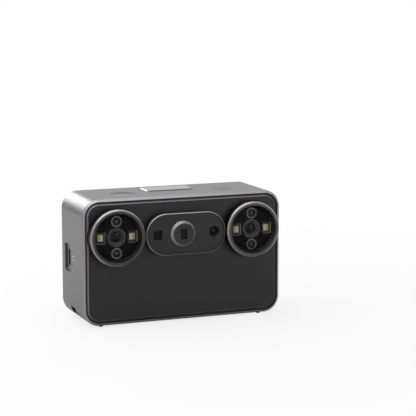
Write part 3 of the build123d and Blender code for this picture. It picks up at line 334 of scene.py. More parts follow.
@dataclass(frozen=True)
class ChamferHighlightFinish(Finish):
    """A grained finish with a painted highlight on its chamfers that face the front and the rear.

    A round or oval piece gets the painted highlight only beyond a reach from its own middle, and can be blackened
    within another. A cover with other slopes in it gets it only beyond a distance from its middle along X or Z.
    """

    # Painted highlight: the paler colour given to the chamfers, and below it their slopes and metallic level.
    cut: Colour = (0.5, 0.5, 0.5)
    highlight_slopes: Point2 = (0.35, 0.93)
    highlight_metal: float = 1.0
    middles: tuple[Point2, ...] = ()
    straight: float = 0.0
    highlight_from: float = 0.0
    black_within: float = 0.0
    black: Colour = (0.004, 0.004, 0.004)
    highlight_beyond: Point2 | None = None
    middle_z: float = 31.0 * MM

    def graph(self) -> Graph:
        """Build the grained nodes, then paint a highlight on the faces that slope towards the front or the rear."""
        graph = super().graph()
        facing = graph.maths("ABSOLUTE", graph.slope("Y"), 0.0)
        first, last = self.highlight_slopes
        steep = graph.spread(facing, (0.0, 1.0), first - SLOPE_BLEND, first + SLOPE_BLEND)
        flat = graph.spread(facing, (1.0, 0.0), last - SLOPE_BLEND, last + SLOPE_BLEND)
        mask = graph.maths("MULTIPLY", steep, flat)
        plain = graph.shader.inputs["Base Color"].links[0].from_socket
        if self.middles:
            reach = graph.reach(self.middles[0], self.straight)
            for middle in self.middles[1:]:
                reach = graph.maths("MINIMUM", reach, graph.reach(middle, self.straight))
            beyond = graph.spread(reach, (0.0, 1.0), self.highlight_from - EDGE_BLEND, self.highlight_from + EDGE_BLEND)
            mask = graph.maths("MULTIPLY", mask, beyond)
            if self.black_within > 0:
                edge = self.black_within
                within = graph.spread(reach, (1.0, 0.0), edge - EDGE_BLEND, edge + EDGE_BLEND)
                plain = graph.mix(within, plain, self.black)
                graph.link(graph.spread(within, (self.metallic, 0.0)), graph.shader.inputs["Metallic"])
        if self.highlight_beyond is not None:
            side = graph.maths("GREATER_THAN", graph.maths("ABSOLUTE", graph.axis("X"), 0.0), self.highlight_beyond[0])
            up = graph.maths("ABSOLUTE", graph.maths("SUBTRACT", graph.axis("Z"), self.middle_z), 0.0)
            end = graph.maths("GREATER_THAN", up, self.highlight_beyond[1])
            mask = graph.maths("MULTIPLY", mask, graph.maths("MAXIMUM", side, end))
        # Painted highlight: the chamfers' colour, with fine lines through it, replaces the plain tone and raises the
        # metallic level.
        lines = graph.noise(0.05 * MM, 2.0)
        bright = graph.mix(lines, tuple(0.85 * part for part in self.cut), self.cut)
        graph.colour(graph.mix(mask, plain, bright))
        if self.highlight_metal != self.metallic:
            graph.link(graph.spread(mask, (self.metallic, self.highlight_metal)), graph.shader.inputs["Metallic"])
        return graph


@dataclass(frozen=True)
class ClearGlass:
    """A polished pane that shows what lies behind it, faintly smudged."""

    name: str
    tint: Colour
    veil: float
    smudge: Point2

    def material(self) -> bpy.types.Material:
        """The glass as a material."""
        graph = Graph(self.name)
        graph.set(alpha=self.veil)
        haze = graph.noise(6.0 * MM, 3.0)
        clear = tuple(0.8 * part for part in self.tint)
        graph.colour(graph.mix(haze, clear, self.tint))
        graph.rough(graph.spread(haze, self.smudge, 0.4, 0.75))
        return graph.material


@dataclass(frozen=True)
class BlackGlass:
    """Polished opaque glass with faint smudges, or a lens whose coating lets it mirror little."""

    name: str
    colour: Colour
    shade: Colour
    smudge: Point2
    index: float = 1.5

    def material(self) -> bpy.types.Material:
        """The glass as a material."""
        graph = Graph(self.name)
        graph.set(IOR=self.index)
        haze = graph.noise(11.0 * MM, 4.0)
        graph.colour(graph.mix(haze, self.shade, self.colour))
        graph.rough(graph.spread(haze, self.smudge, 0.4, 0.75))
        return graph.material


@dataclass(frozen=True)
class LampFinish:
    """A lamp chip: yellow phosphor on the half away from its camera, pale ceramic on the other."""

    name: str
    phosphor: Colour
    ceramic: Colour
    camera_x: float
    lamp_offset: float

    def material(self) -> bpy.types.Material:
        """The chip as a material, split by the distance from the camera's axis."""
        graph = Graph(self.name)
        graph.set(coat_weight=0.6, coat_roughness=0.08)
        away = graph.maths("ABSOLUTE", graph.axis("X"), 0.0)
        away = graph.maths("ABSOLUTE", graph.maths("SUBTRACT", away, self.camera_x), 0.0)
        outer = graph.spread(away, (0.0, 1.0), self.lamp_offset - 0.03 * MM, self.lamp_offset + 0.03 * MM)
        grain = graph.noise(0.15 * MM, 3.0)
        yellow = graph.mix(grain, tuple(0.7 * part for part in self.phosphor), self.phosphor)
        pale = graph.mix(grain, tuple(0.8 * part for part in self.ceramic), self.ceramic)
        graph.colour(graph.mix(outer, pale, yellow))
        graph.rough(graph.spread(grain, (0.3, 0.55)))
        graph.bump(grain, 0.01 * MM)
        return graph.material


@dataclass(frozen=True)
class CarrierFinish(Finish):
    """The black carrier behind a camera's glass, with grey wells round its two lamps."""

    camera_x: float = 0.0
    well_from: float = 1.0
    well: Colour = (0.06, 0.06, 0.06)
    wall: Colour = (0.45, 0.45, 0.45)
    front_y: float = 0.0

    def graph(self) -> Graph:
        """Build the grained nodes, then lighten what lies deeper than the carrier's face beside the lens."""
        graph = super().graph()
        away = graph.maths("ABSOLUTE", graph.axis("X"), 0.0)
        away = graph.maths("ABSOLUTE", graph.maths("SUBTRACT", away, self.camera_x), 0.0)
        beside = graph.spread(away, (0.0, 1.0), self.well_from - 0.05 * MM, self.well_from + 0.05 * MM)
        deep = graph.spread(graph.axis("Y"), (0.0, 1.0), self.front_y + 0.02 * MM, self.front_y + 0.05 * MM)
        side = graph.spread(graph.maths("ABSOLUTE", graph.slope("Y"), 0.0), (1.0, 0.0), 0.4, 0.6)
        tone = graph.mix(side, self.well, self.wall)
        plain = graph.shader.inputs["Base Color"].links[0].from_socket
        graph.colour(graph.mix(graph.maths("MULTIPLY", beside, deep), plain, tone))
        return graph


@dataclass(frozen=True)
class EmitterFinish(Finish):
    """A dark round emitter with a grey rim and a small paler middle."""

    middles: tuple[Point2, ...] = ()
    rim_from: float = 2.1 * MM
    rim: Colour = (0.2, 0.2, 0.2)
    core_within: float = 0.7 * MM
    core: Colour = (0.12, 0.12, 0.125)

    def graph(self) -> Graph:
        """Build the grained nodes, then paint rim and middle by the distance from the emitter's axis."""
        graph = super().graph()
        reach = graph.reach(self.middles[0])
        for middle in self.middles[1:]:
            reach = graph.maths("MINIMUM", reach, graph.reach(middle))
        plain = graph.shader.inputs["Base Color"].links[0].from_socket
        rim = graph.spread(reach, (0.0, 1.0), self.rim_from - 0.05 * MM, self.rim_from + 0.05 * MM)
        core = graph.spread(reach, (1.0, 0.0), 0.6 * self.core_within, self.core_within)
        graph.colour(graph.mix(core, graph.mix(rim, plain, self.rim), self.core))
        return graph


@dataclass(frozen=True)
class BoardFinish:
    """A circuit board: solder mask over fine copper runs."""

    name: str
    mask: Colour
    run: Colour
    coat: float = 0.4
    specular: float = 0.5
    run_density: float = 350.0
    run_width: float = 0.03

    def material(self) -> bpy.types.Material:
        """The board as a material."""
        graph = Graph(self.name)
        graph.set(coat_weight=self.coat, coat_roughness=0.2, specular_IOR_level=self.specular)
        node = graph.add("ShaderNodeTexBrick", offset=0.5, squash=0.6)
        node.inputs["Scale"].default_value = self.run_density
        node.inputs["Mortar Size"].default_value = self.run_width
        graph.link(graph.place, node.inputs["Vector"])
        runs = graph.spread(node.outputs["Fac"], (0.0, 0.7))
        graph.colour(graph.mix(runs, self.mask, self.run))
        haze = graph.noise(3.0 * MM)
        graph.rough(graph.spread(haze, (0.3, 0.5)))
        graph.bump(node.outputs["Fac"], 0.02 * MM)
        return graph.material


@dataclass(frozen=True)
class PixelFinish:
    """A lit patch of the display, under the same gloss as its glass."""

    name: str
    low: Colour
    high: Colour
    strength: float = 1.0
    mottle: float = 2.0 * MM

    def graph(self) -> Graph:
        """Build the patch's nodes.

        Returns:
            The node tree, open for more nodes.
        """
        graph = Graph(self.name)
        graph.set(base_color=(0.003, 0.003, 0.004, 1.0), coat_weight=0.3, coat_roughness=0.02)
        graph.set(emission_strength=self.strength)
        haze = graph.noise(self.mottle, 3.0)
        graph.link(graph.mix(haze, self.low, self.high), graph.shader.inputs["Emission Color"])
        graph.rough(graph.spread(haze, (0.05, 0.09)))
        return graph

    def material(self) -> bpy.types.Material:
        """The patch as a material."""
        return self.graph().material


@dataclass(frozen=True)
class GaugeFinish(PixelFinish):
    """The display's level bar: red at the foot, green, then blue at the top."""

    bottom: float = 0.0
    top: float = 1.0
    tones: tuple[Colour, ...] = ((0.75, 0.16, 0.15), (0.04, 0.62, 0.09), (0.1, 0.42, 0.75))
    steps: Point2 = (0.2, 0.8)

    def graph(self) -> Graph:
        """Build the patch's nodes and colour them by height."""
        graph = super().graph()
        height = graph.spread(graph.axis("Z"), (0.0, 1.0), self.bottom, self.top)
        ramp = graph.add("ShaderNodeValToRGB")
        ramp.color_ramp.interpolation = "CONSTANT"
        for position, tone in zip(self.steps, self.tones[1:]):
            ramp.color_ramp.elements.new(position).color = (*tone, 1.0)
        ramp.color_ramp.elements[0].color = (*self.tones[0], 1.0)
        ramp.color_ramp.elements[-1].color = (*self.tones[-1], 1.0)
        graph.link(height, ramp.inputs["Fac"])
        graph.link(ramp.outputs["Color"], graph.shader.inputs["Emission Color"])
        return graph


@dataclass(frozen=True)
class ScanFinish(PixelFinish):
    """The scanned pot on the display: a blue relief, shaded as if it stood out to its full depth."""

    flat: float = 1.0
    light: Colour = (0.45, 0.72, 0.53)
    dark: Colour = (0.003, 0.06, 0.28)
    gleam: Colour = (0.16, 0.72, 1.0)

    def graph(self) -> Graph:
        """Build the patch's nodes, then darken or brighten them by the slopes of the relief."""
        graph = super().graph()
        tone = graph.shader.inputs["Emission Color"].links[0].from_socket
        across, out, up = graph.slope("X"), graph.slope("Y"), graph.slope("Z")
        deep = graph.maths("MULTIPLY", out, self.flat)
        length = graph.maths("MULTIPLY", deep, deep)
        lit = graph.maths("MULTIPLY", deep, self.light[1])
        for slope, share in ((across, self.light[0]), (up, self.light[2])):
            length = graph.maths("ADD", length, graph.maths("MULTIPLY", slope, slope))
            lit = graph.maths("ADD", lit, graph.maths("MULTIPLY", slope, share))
        lit = graph.maths("DIVIDE", lit, graph.maths("POWER", length, 0.5))
        grain = graph.spread(graph.cells(0.7 * MM), (-0.12, 0.12), 0.1, 0.8)
        lit = graph.maths("ADD", lit, grain)
        tone = graph.mix(graph.spread(lit, (0.0, 1.0), 0.05, 0.75), self.dark, tone)
        tone = graph.mix(graph.spread(lit, (0.0, 1.0), 0.7, 1.05), tone, self.gleam)
        graph.link(tone, graph.shader.inputs["Emission Color"])
        return graph


class Kit:
    """Meshes that the assemblies share."""

    @staticmethod
    def piece(name: str, mesh: bmesh.types.BMesh, body: Body, material: bpy.types.Material) -> bpy.types.Object:
        """Turn a finished mesh into a piece that rides on a body.

        Args:
            name: The piece's name.
            mesh: Its mesh, in the frame.
            body: What it moves with.
            material: Its finish.

        Returns:
            The new object.
        """
        bmesh.ops.recalc_face_normals(mesh, faces=mesh.faces)
        data = bpy.data.meshes.new(name)
        mesh.to_mesh(data)
        mesh.free()
        data.materials.append(material)
        piece = bpy.data.objects.new(name, data)
        bpy.context.scene.collection.objects.link(piece)
        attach(piece, body.value)
        LOG.info("piece %s rides on %s", name, body.value)
        return piece

    @staticmethod
    def rounded(width: float, height: float, radius: float, steps: int = 6) -> list[Point2]:
        """Outline of a rectangle with round corners.

        Args:
            width: Its width.
            height: Its height.
            radius: Radius of its corners.
            steps: Straight runs in each corner.

        Returns:
            The outline's points, anticlockwise, about its middle.
        """
        points = []
        corners = ((1, 1, 0), (-1, 1, 90), (-1, -1, 180), (1, -1, 270))
        for sign_x, sign_y, start in corners:
            middle = (sign_x * (width / 2 - radius), sign_y * (height / 2 - radius))
            for step in range(steps + 1):
                turn = math.radians(start + 90 * step / steps)
                points.append((middle[0] + radius * math.cos(turn), middle[1] + radius * math.sin(turn)))
        return points

    @staticmethod
    def plate(mesh: bmesh.types.BMesh, outline: Sequence[Point2], thickness: float, place: Matrix) -> None:
        """Add a thin plate to a mesh.

        Args:
            mesh: The mesh that gets it.
            outline: Points of its edge.
            thickness: How far it stands out from its place.
            place: Matrix from the outline's axes to the frame.
        """
        low = [mesh.verts.new(place @ Vector((x, y, 0.0))) for x, y in outline]
        high = [mesh.verts.new(place @ Vector((x, y, thickness))) for x, y in outline]
        mesh.faces.new(high)
        mesh.faces.new(low[::-1])
        for index in range(len(outline)):
            after = (index + 1) % len(outline)
            mesh.faces.new((low[index], low[after], high[after], high[index]))

    @staticmethod
    def words(name: str, text: str, size: float, thickness: float, place: Matrix, body: Body,
              material: bpy.types.Material, bold: float = 0.0) -> bpy.types.Object:
        """A line of raised figures or letters, centred on its place.

        Args:
            name: The piece's name.
            text: What it says.
            size: Height of the letters, in metres.
            thickness: How far they stand out.
            place: Matrix from the line's axes to the frame.
            body: What it moves with.
            material: Its finish.
            bold: How far the strokes are widened, as a share of their height.

        Returns:
            The new object.
        """
        curve = bpy.data.curves.new(name, "FONT")
        curve.body = text
        curve.size = size / CAPITAL_SHARE
        curve.extrude = thickness / 2
        curve.offset = bold * size
        curve.align_x = "CENTER"
        curve.align_y = "CENTER"
        curve.resolution_u = 4
        holder = bpy.data.objects.new(name + "_line", curve)
        mesh = bmesh.new()
        flat = bpy.data.meshes.new_from_object(holder)
        mesh.from_mesh(flat)
        bmesh.ops.remove_doubles(mesh, verts=mesh.verts, dist=1e-6)
        mesh.transform(place @ Matrix.Translation((0.0, 0.0, thickness / 2)))
        bpy.data.objects.remove(holder)
        bpy.data.curves.remove(curve)
        bpy.data.meshes.remove(flat)
        return Kit.piece(name, mesh, body, material)

    @staticmethod
    def dress(material: bpy.types.Material, nodes: Iterable[str]) -> None:
        """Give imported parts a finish.

        Args:
            material: The finish.
            nodes: Names of the parts.
        """
        for node in nodes:
            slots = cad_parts[node].data.materials
            slots.clear()
            slots.append(material)
            LOG.info("part %s wears %s", node, material.name)


@dataclass
class CaseShell:
    """The metal band, its two covers, the seals between them and the pieces set into the band."""

    # The band and both covers carry a painted highlight on their front and rear chamfers; the rear cover's only
    # along its outer edges.
    metal: Finish = ChamferHighlightFinish("anodised_band", (0.142, 0.142, 0.147), (0.134, 0.134, 0.139), (0.36, 0.39),
                              metallic=1.0, wear=grey(0.25), cut=(0.3, 0.285, 0.3), grain=0.1 * MM)
    cover: Finish = ChamferHighlightFinish("charcoal_cover", grey(0.009), grey(0.007), (0.44, 0.52), specular=0.32,
                              wear=grey(0.02), cut=(0.26, 0.25, 0.26), highlight_metal=0.9)
    back: Finish = ChamferHighlightFinish("charcoal_back", (0.036, 0.0345, 0.035), (0.03, 0.029, 0.0295), (0.44, 0.52),
                             specular=0.4, wear=grey(0.06), cut=(0.26, 0.25, 0.26), highlight_metal=0.9,
                             highlight_beyond=(47.8 * MM, 27.4 * MM))
    rubber: Finish = Finish("seal_rubber", grey(0.008), grey(0.006), (0.7, 0.85), specular=0.3, depth=0.01 * MM)
    foot: Finish = Finish("foot_rubber", grey(0.012), grey(0.009), (0.7, 0.85), specular=0.3, depth=0.01 * MM)
    antenna: Finish = Finish("antenna_window", grey(0.11), grey(0.1), (0.08, 0.14), metallic=0.85, wear=grey(0.5),
                             wear_reach=0.2 * MM, depth=0.0005 * MM)
    screen: Finish = Finish("vent_screen", grey(0.004), grey(0.003), (0.6, 0.75), specular=0.2)
    bar: Finish = Finish("lanyard_steel", grey(0.35), grey(0.3), (0.25, 0.35), metallic=1.0)
    cone: Finish = Finish("speaker_cone", grey(0.01), grey(0.007), (0.6, 0.8), depth=0.02 * MM, grain=0.3 * MM)

    def dress(self) -> None:
        """Give the case's parts their finishes."""
        Kit.dress(self.metal.material(), ("middle_frame",))
        Kit.dress(self.cover.material(), ("front_cover",))
        Kit.dress(self.back.material(), ("rear_cover",))
        Kit.dress(self.rubber.material(), ("front_seal", "rear_seal"))
        Kit.dress(self.foot.material(), ("feet",))
        Kit.dress(self.antenna.material(), ("antenna_window",))
        Kit.dress(self.screen.material(), ("vent_screen",))
        Kit.dress(self.bar.material(), ("lanyard_bar",))
        Kit.dress(self.cone.material(), ("speaker",))


@dataclass
class StereoCameras:
    """The two camera modules and all that shows through their glass."""

    glass: ClearGlass = ClearGlass("window_glass", grey(0.01), 0.09, (0.02, 0.06))
    barrel: Finish = Finish("barrel_black", grey(0.055), grey(0.045), (0.35, 0.45), specular=0.3, wear=grey(0.12))
    lens: BlackGlass = BlackGlass("camera_lens", (0.004, 0.004, 0.006), grey(0.002), (0.04, 0.09), 1.22)
    board: BoardFinish = BoardFinish("camera_board", (0.01, 0.045, 0.025), (0.03, 0.12, 0.06))
    camera_x: float = 34.2 * MM
    camera_z: float = 43.2 * MM
    rim_inner: float = 11.75 * MM
    # Reach from a camera's axis beyond which its bezel's chamfer gets a painted highlight.
    rim_highlight_from: float = 12.6 * MM
    lamp_offset: float = 7.85 * MM
    lamp_well: float = 5.2 * MM
    emitter_offset: float = 7.6 * MM

    def bezel(self) -> ChamferHighlightFinish:
        """Finish of the bezels: dark metal, a painted highlight on the outer chamfer, black inner wall."""
        axes = tuple((sign * self.camera_x, self.camera_z) for sign in (-1, 1))
        return ChamferHighlightFinish("bezel_metal", grey(0.06), grey(0.05), (0.3, 0.38), metallic=1.0, cut=(0.3, 0.29, 0.3),
                         highlight_slopes=(0.2, 0.93), grain=0.1 * MM, middles=axes, highlight_from=self.rim_highlight_from,
                         black_within=self.rim_inner)

    def carrier(self) -> CarrierFinish:
        """Finish of the carriers: black, with grey wells."""
        return CarrierFinish("carrier_black", grey(0.002), grey(0.0015), (0.55, 0.7), specular=0.06,
                             camera_x=self.camera_x, well_from=self.lamp_well,
                             front_y=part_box("left_camera_carrier")[0].y)

    def emitter(self) -> EmitterFinish:
        """Finish of the four emitters."""
        axes = tuple((side * self.camera_x, self.camera_z + up * self.emitter_offset)
                     for side in (-1, 1) for up in (-1, 1))
        return EmitterFinish("emitter_dome", grey(0.008), grey(0.006), (0.25, 0.35), specular=0.2, middles=axes,
                             depth=0.001 * MM)

    def dress(self) -> None:
        """Give both modules' parts their finishes."""
        lamp = LampFinish("lamp_chip", (0.62, 0.36, 0.03), (0.6, 0.6, 0.62), self.camera_x, self.lamp_offset)
        finishes = {
            "camera_bezel": self.bezel().material(),
            "camera_glass": self.glass.material(),
            "camera_carrier": self.carrier().material(),
            "lens_barrel": self.barrel.material(),
            "camera_lens": self.lens.material(),
            "ir_emitters": self.emitter().material(),
            "fill_lights": lamp.material(),
            "camera_board": self.board.material(),
        }
        for side in ("left", "right"):
            for part, material in finishes.items():
                Kit.dress(material, (f"{side}_{part}",))


@dataclass
class OpticsPanel:
    """The raised panel between the cameras, with projector, depth sensor and colour camera."""

    # The panel's outer chamfer and the projector nose's chamfer carry a painted highlight.
    panel: Finish = ChamferHighlightFinish("panel_charcoal", grey(0.009), grey(0.007), (0.44, 0.52), specular=0.32,
                              cut=(0.3, 0.29, 0.3), highlight_slopes=(0.2, 0.93), highlight_metal=0.9,
                              middles=((0.0, 43.2 * MM),), straight=10.1 * MM, highlight_from=8.9 * MM)
    nose: Finish = ChamferHighlightFinish("projector_nose", grey(0.012), grey(0.01), (0.42, 0.5), specular=0.35,
                             cut=(0.26, 0.25, 0.26), highlight_slopes=(0.2, 0.93), highlight_metal=0.95,
                             middles=((-1.6 * MM, 43.2 * MM),), highlight_from=4.6 * MM)
    window: BlackGlass = BlackGlass("projector_window", (0.02, 0.02, 0.022), grey(0.001), (0.05, 0.1), 1.2)
    sensor: BoardFinish = BoardFinish("sensor_chip", grey(0.002), grey(0.03), 0.0, 0.1)
    barrel: Finish = Finish("colour_barrel", grey(0.008), grey(0.006), (0.45, 0.55), specular=0.3)
    lens: BlackGlass = BlackGlass("colour_lens", (0.006, 0.005, 0.009), grey(0.002), (0.04, 0.09), 1.25)
    core: Finish = Finish("projector_core", grey(0.1), grey(0.08), (0.4, 0.5), metallic=1.0)
    bracket: Finish = Finish("bracket_metal", grey(0.45), grey(0.4), (0.35, 0.45), metallic=1.0)

    def dress(self) -> None:
        """Give the panel's parts and the bracket behind it their finishes."""
        Kit.dress(self.panel.material(), ("optics_panel",))
        Kit.dress(self.nose.material(), ("projector_housing",))
        Kit.dress(self.window.material(), ("projector_window",))
        Kit.dress(self.sensor.material(), ("depth_sensor",))
        Kit.dress(self.barrel.material(), ("colour_barrel",))
        Kit.dress(self.lens.material(), ("colour_lens",))
        Kit.dress(self.core.material(), ("projector_module",))
        Kit.dress(self.bracket.material(), ("optics_bracket",))


@dataclass
class Display:
    """The black display glass and the picture that it shows."""

    glass: BlackGlass = BlackGlass("display_glass", grey(0.005), grey(0.003), (0.02, 0.07), 1.32)
    panel: Finish = Finish("display_core", grey(0.05), grey(0.04), (0.4, 0.5))
    ground: PixelFinish = PixelFinish("picture_ground", (0.04, 0.047, 0.06), (0.046, 0.054, 0.068), 1.0, 20 * MM)
    pale: PixelFinish = PixelFinish("picture_pale", grey(0.6), grey(0.7))
    width: float = 66.4 * MM
    height: float = 37.4 * MM
    corner: float = 0.8 * MM
    film: float = 0.02 * MM
    bold: float = 0.02
    row_drop: float = 3.6 * MM
    figure_size: float = 2.1 * MM
    heat_x: float = -24.0 * MM
    charge_x: float = 24.6 * MM
    stem_x: float = -30.2 * MM
    scale_x: float = -29.1 * MM
    bulb_radius: float = 0.65 * MM
    fan_x: float = 18.2 * MM
    fan_step: float = 0.9 * MM
    fan_start: float = 48.0
    fan_sweep: float = 84.0
    fan_runs: int = 10
    battery_x: float = 29.6 * MM
    gauge_x: float = -31.0 * MM
    gauge_width: float = 0.9 * MM
    gauge_height: float = 21.3 * MM
    marker_width: float = 1.9 * MM
    marker_height: float = 0.8 * MM
    rate_place: Point2 = (-28.4 * MM, -12.9 * MM)
    rate_size: float = 1.5 * MM
    pot_place: Point2 = (1.5 * MM, -1.2 * MM)
    pot_flat: float = 0.006
    pot_profile: tuple[Point2, ...] = (
        (5.2, -13.9), (5.9, -13.2), (5.0, -11.9), (6.4, -10.4), (9.2, -6.6), (10.9, -2.4), (11.0, 1.4),
        (9.6, 5.2), (6.9, 8.0), (4.8, 9.6), (4.3, 11.0), (4.9, 12.6), (6.4, 13.6), (6.3, 14.1),
    )
    handle_line: tuple[Point2, ...] = ((5.0, 10.6), (8.0, 12.2), (10.6, 11.0), (11.2, 8.0), (9.6, 5.0))
    handle_radius: float = 0.9 * MM
    flute_from: float = 0.55
    flute_depth: float = 0.035

    def dress(self) -> None:
        """Finish the glass and what is behind it."""
        Kit.dress(self.glass.material(), ("display_glass",))
        Kit.dress(self.panel.material(), ("display_panel",))

    def place(self, x: float, y: float, layer: int) -> Matrix:
        """Place on the picture.

        Args:
            x: Metres to the right of the picture's middle, as the viewer sees it.
            y: Metres above its middle.
            layer: How many films lie below.

        Returns:
            The matrix for a flat piece there.
        """
        low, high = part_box("display_glass")
        middle = Vector((-x, high.y + layer * self.film, (low.z + high.z) / 2 + y))
        return Facing.REAR.matrix(middle)

    @staticmethod
    def keep(piece: bpy.types.Object) -> None:
        """Leave a piece of the picture as it is; nothing is done with it."""

    def build(self) -> None:
        """Build the picture: ground, readings, gauge and the scanned pot."""
        ground = bmesh.new()
        outline = Kit.rounded(self.width, self.height, self.corner)
        Kit.plate(ground, outline, self.film, self.place(0.0, 0.0, 0))
        self.keep(Kit.piece("picture_ground", ground, Body.CASE, self.ground.material()))
        pale = self.pale.material()
        self.readings(pale)
        self.gauge(pale)
        self.pot()

    def readings(self, pale: bpy.types.Material) -> None:
        """The thermometer, the signal fan and the battery, with their figures.

        Args:
            pale: Finish of lines and figures.
        """
        row = self.height / 2 - self.row_drop
        figures = (("picture_heat", "36.8C", self.heat_x), ("picture_charge", "74%", self.charge_x))
        for name, text, x in figures:
            place = self.place(x, row, 1)
            self.keep(Kit.words(name, text, self.figure_size, self.film, place, Body.CASE, pale, self.bold))
        icons = bmesh.new()
        self.thermometer(icons, row)
        for ring in range(3):
            inner, outer = self.fan_step * ring - 0.12 * MM, self.fan_step * ring + 0.36 * MM
            self.fan(icons, max(inner, 0.0), outer, self.place(self.fan_x, row - 1.0 * MM, 1))
        self.battery(icons, self.place(self.battery_x, row, 1))
        self.keep(Kit.piece("picture_icons", icons, Body.CASE, pale))

    def thermometer(self, mesh: bmesh.types.BMesh, row: float) -> None:
        """Add the thermometer: bulb, stem and three marks of its scale.

        Args:
            mesh: The mesh that gets it.
            row: Height of the row above the picture's middle.
        """
        turns = self.turns(16)
        bulb = [(self.bulb_radius * math.cos(turn), self.bulb_radius * math.sin(turn)) for turn in turns]
        Kit.plate(mesh, bulb, self.film, self.place(self.stem_x, row - 0.75 * MM, 1))
        stem = Kit.rounded(0.6 * MM, 2.0 * MM, 0.3 * MM, 4)
        Kit.plate(mesh, stem, 0.9 * self.film, self.place(self.stem_x, row + 0.4 * MM, 1))
        for mark in range(3):
            place = self.place(self.scale_x, row + (1.1 - 0.5 * mark) * MM, 1)
            Kit.plate(mesh, Kit.rounded(0.7 * MM, 0.22 * MM, 0.1 * MM, 2), self.film, place)

    def battery(self, mesh: bmesh.types.BMesh, place: Matrix) -> None:
        """Add the battery: four bars of its shell, its charge and its pole.

        Args:
            mesh: The mesh that gets it.
            place: Where its middle is.
        """
        bars = ((3.0, 0.25, 0.0, 0.85), (3.0, 0.25, 0.0, -0.85), (0.25, 1.9, -1.42, 0.0), (0.25, 1.9, 1.42, 0.0),
                (1.9, 1.2, -0.25, 0.0), (0.3, 0.8, 1.85, 0.0))
        for width, height, x, y in bars:
            shifted = place @ Matrix.Translation((x * MM, y * MM, 0.0))
            Kit.plate(mesh, Kit.rounded(width * MM, height * MM, 0.1 * MM, 2), self.film, shifted)

    @staticmethod
    def turns(count: int) -> list[float]:
        """Evenly spread angles of one full turn."""
        return [2 * math.pi * step / count for step in range(count)]

    def fan(self, mesh: bmesh.types.BMesh, inner: float, outer: float, place: Matrix) -> None:
        """Add one arc of the signal fan.

        Args:
            mesh: The mesh that gets it.
            inner: Radius of its inner edge.
            outer: Radius of its outer edge.
            place: Where the fan's foot is.
        """
        shares = [step / self.fan_runs for step in range(self.fan_runs + 1)]
        angles = [math.radians(self.fan_start + self.fan_sweep * share) for share in shares]
        far = [(outer * math.cos(turn), outer * math.sin(turn)) for turn in angles]
        near = [(inner * math.cos(turn), inner * math.sin(turn)) for turn in reversed(angles)]
        Kit.plate(mesh, far + (near if inner > 0 else [(0.0, 0.0)]), self.film, place)

    def gauge(self, pale: bpy.types.Material) -> None:
        """The level bar with its marker and figure.

        Args:
            pale: Finish of the marker and the figure.
        """
        low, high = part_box("display_glass")
        level = (low.z + high.z) / 2
        tone = GaugeFinish("picture_gauge", grey(0.5), grey(0.5), 0.9, 2 * MM, level - self.gauge_height / 2,
                           level + self.gauge_height / 2)
        bar = bmesh.new()
        outline = Kit.rounded(self.gauge_width, self.gauge_height, self.gauge_width / 2)
        Kit.plate(bar, outline, self.film, self.place(self.gauge_x, 0.0, 1))
        self.keep(Kit.piece("picture_gauge", bar, Body.CASE, tone.material()))
        marker = bmesh.new()
        outline = Kit.rounded(self.marker_width, self.marker_height, 0.25 * MM)
        Kit.plate(marker, outline, self.film, self.place(self.gauge_x, 0.0, 2))
        self.keep(Kit.piece("picture_marker", marker, Body.CASE, pale))
        place = self.place(*self.rate_place, 1)
        self.keep(Kit.words("picture_rate", "15.00", self.rate_size, self.film, place, Body.CASE, pale, self.bold))

    def pot(self) -> None:
        """The scanned pot in the middle of the picture: a fluted body with two handles, as a very flat relief."""
        mesh = bmesh.new()
        self.body(mesh, [(radius * MM, height * MM) for radius, height in self.smooth(self.pot_profile)])
        for side in (-1, 1):
            line = [(side * x * MM, y * MM) for x, y in self.smooth(self.handle_line)]
            self.handle(mesh, line, self.handle_radius)
        tone = ScanFinish("picture_pot", (0.012, 0.27, 0.74), (0.02, 0.36, 0.88), flat=self.pot_flat)
        self.keep(Kit.piece("picture_pot", mesh, Body.CASE, tone.material()))

    def relief(self, x: float, y: float, depth: float) -> Vector:
        """Place of a point of the pot, flattened on to the picture."""
        spot = self.place(*self.pot_place, 1)
        return spot @ Vector((x, y, self.film / 4 + self.pot_flat * depth))

    def body(self, mesh: bmesh.types.BMesh, profile: Sequence[Point2], around: int = 96, flutes: int = 14) -> None:
        """Add the half of the turned pot that shows, with flutes round its belly.

        Args:
            mesh: The mesh that gets it.
            profile: Radius and height of its rings, from the foot up.
            around: Steps in the half turn.
            flutes: How many flutes the half turn has.
        """
        widest = max(radius for radius, _ in profile)
        rows = []
        for radius, height in profile:
            swell = max(0.0, (radius / widest - self.flute_from) / (1.0 - self.flute_from))
            row = []
            for step in range(around + 1):
                turn = math.pi * step / around
                wave = 1.0 - self.flute_depth * swell * math.cos(flutes * 2 * turn)
                row.append(mesh.verts.new(self.relief(wave * radius * math.cos(turn), height,
                                                      wave * radius * math.sin(turn))))
            rows.append(row)
        self.skin(mesh, rows)

    def handle(self, mesh: bmesh.types.BMesh, line: Sequence[Point2], radius: float, around: int = 12) -> None:
        """Add one handle: the half of a round bar that shows, along a bent line.

        Args:
            mesh: The mesh that gets it.
            line: The points that its middle follows.
            radius: Half its thickness.
            around: Steps in the half turn.
        """
        rows = []
        for index, (x, y) in enumerate(line):
            before, after = line[max(index - 1, 0)], line[min(index + 1, len(line) - 1)]
            along = (Vector(after) - Vector(before)).normalized()
            row = []
            for step in range(around + 1):
                turn = math.pi * step / around
                reach = radius * math.cos(turn)
                row.append(mesh.verts.new(self.relief(x - along.y * reach, y + along.x * reach,
                                                      radius * math.sin(turn))))
            rows.append(row)
        self.skin(mesh, rows)

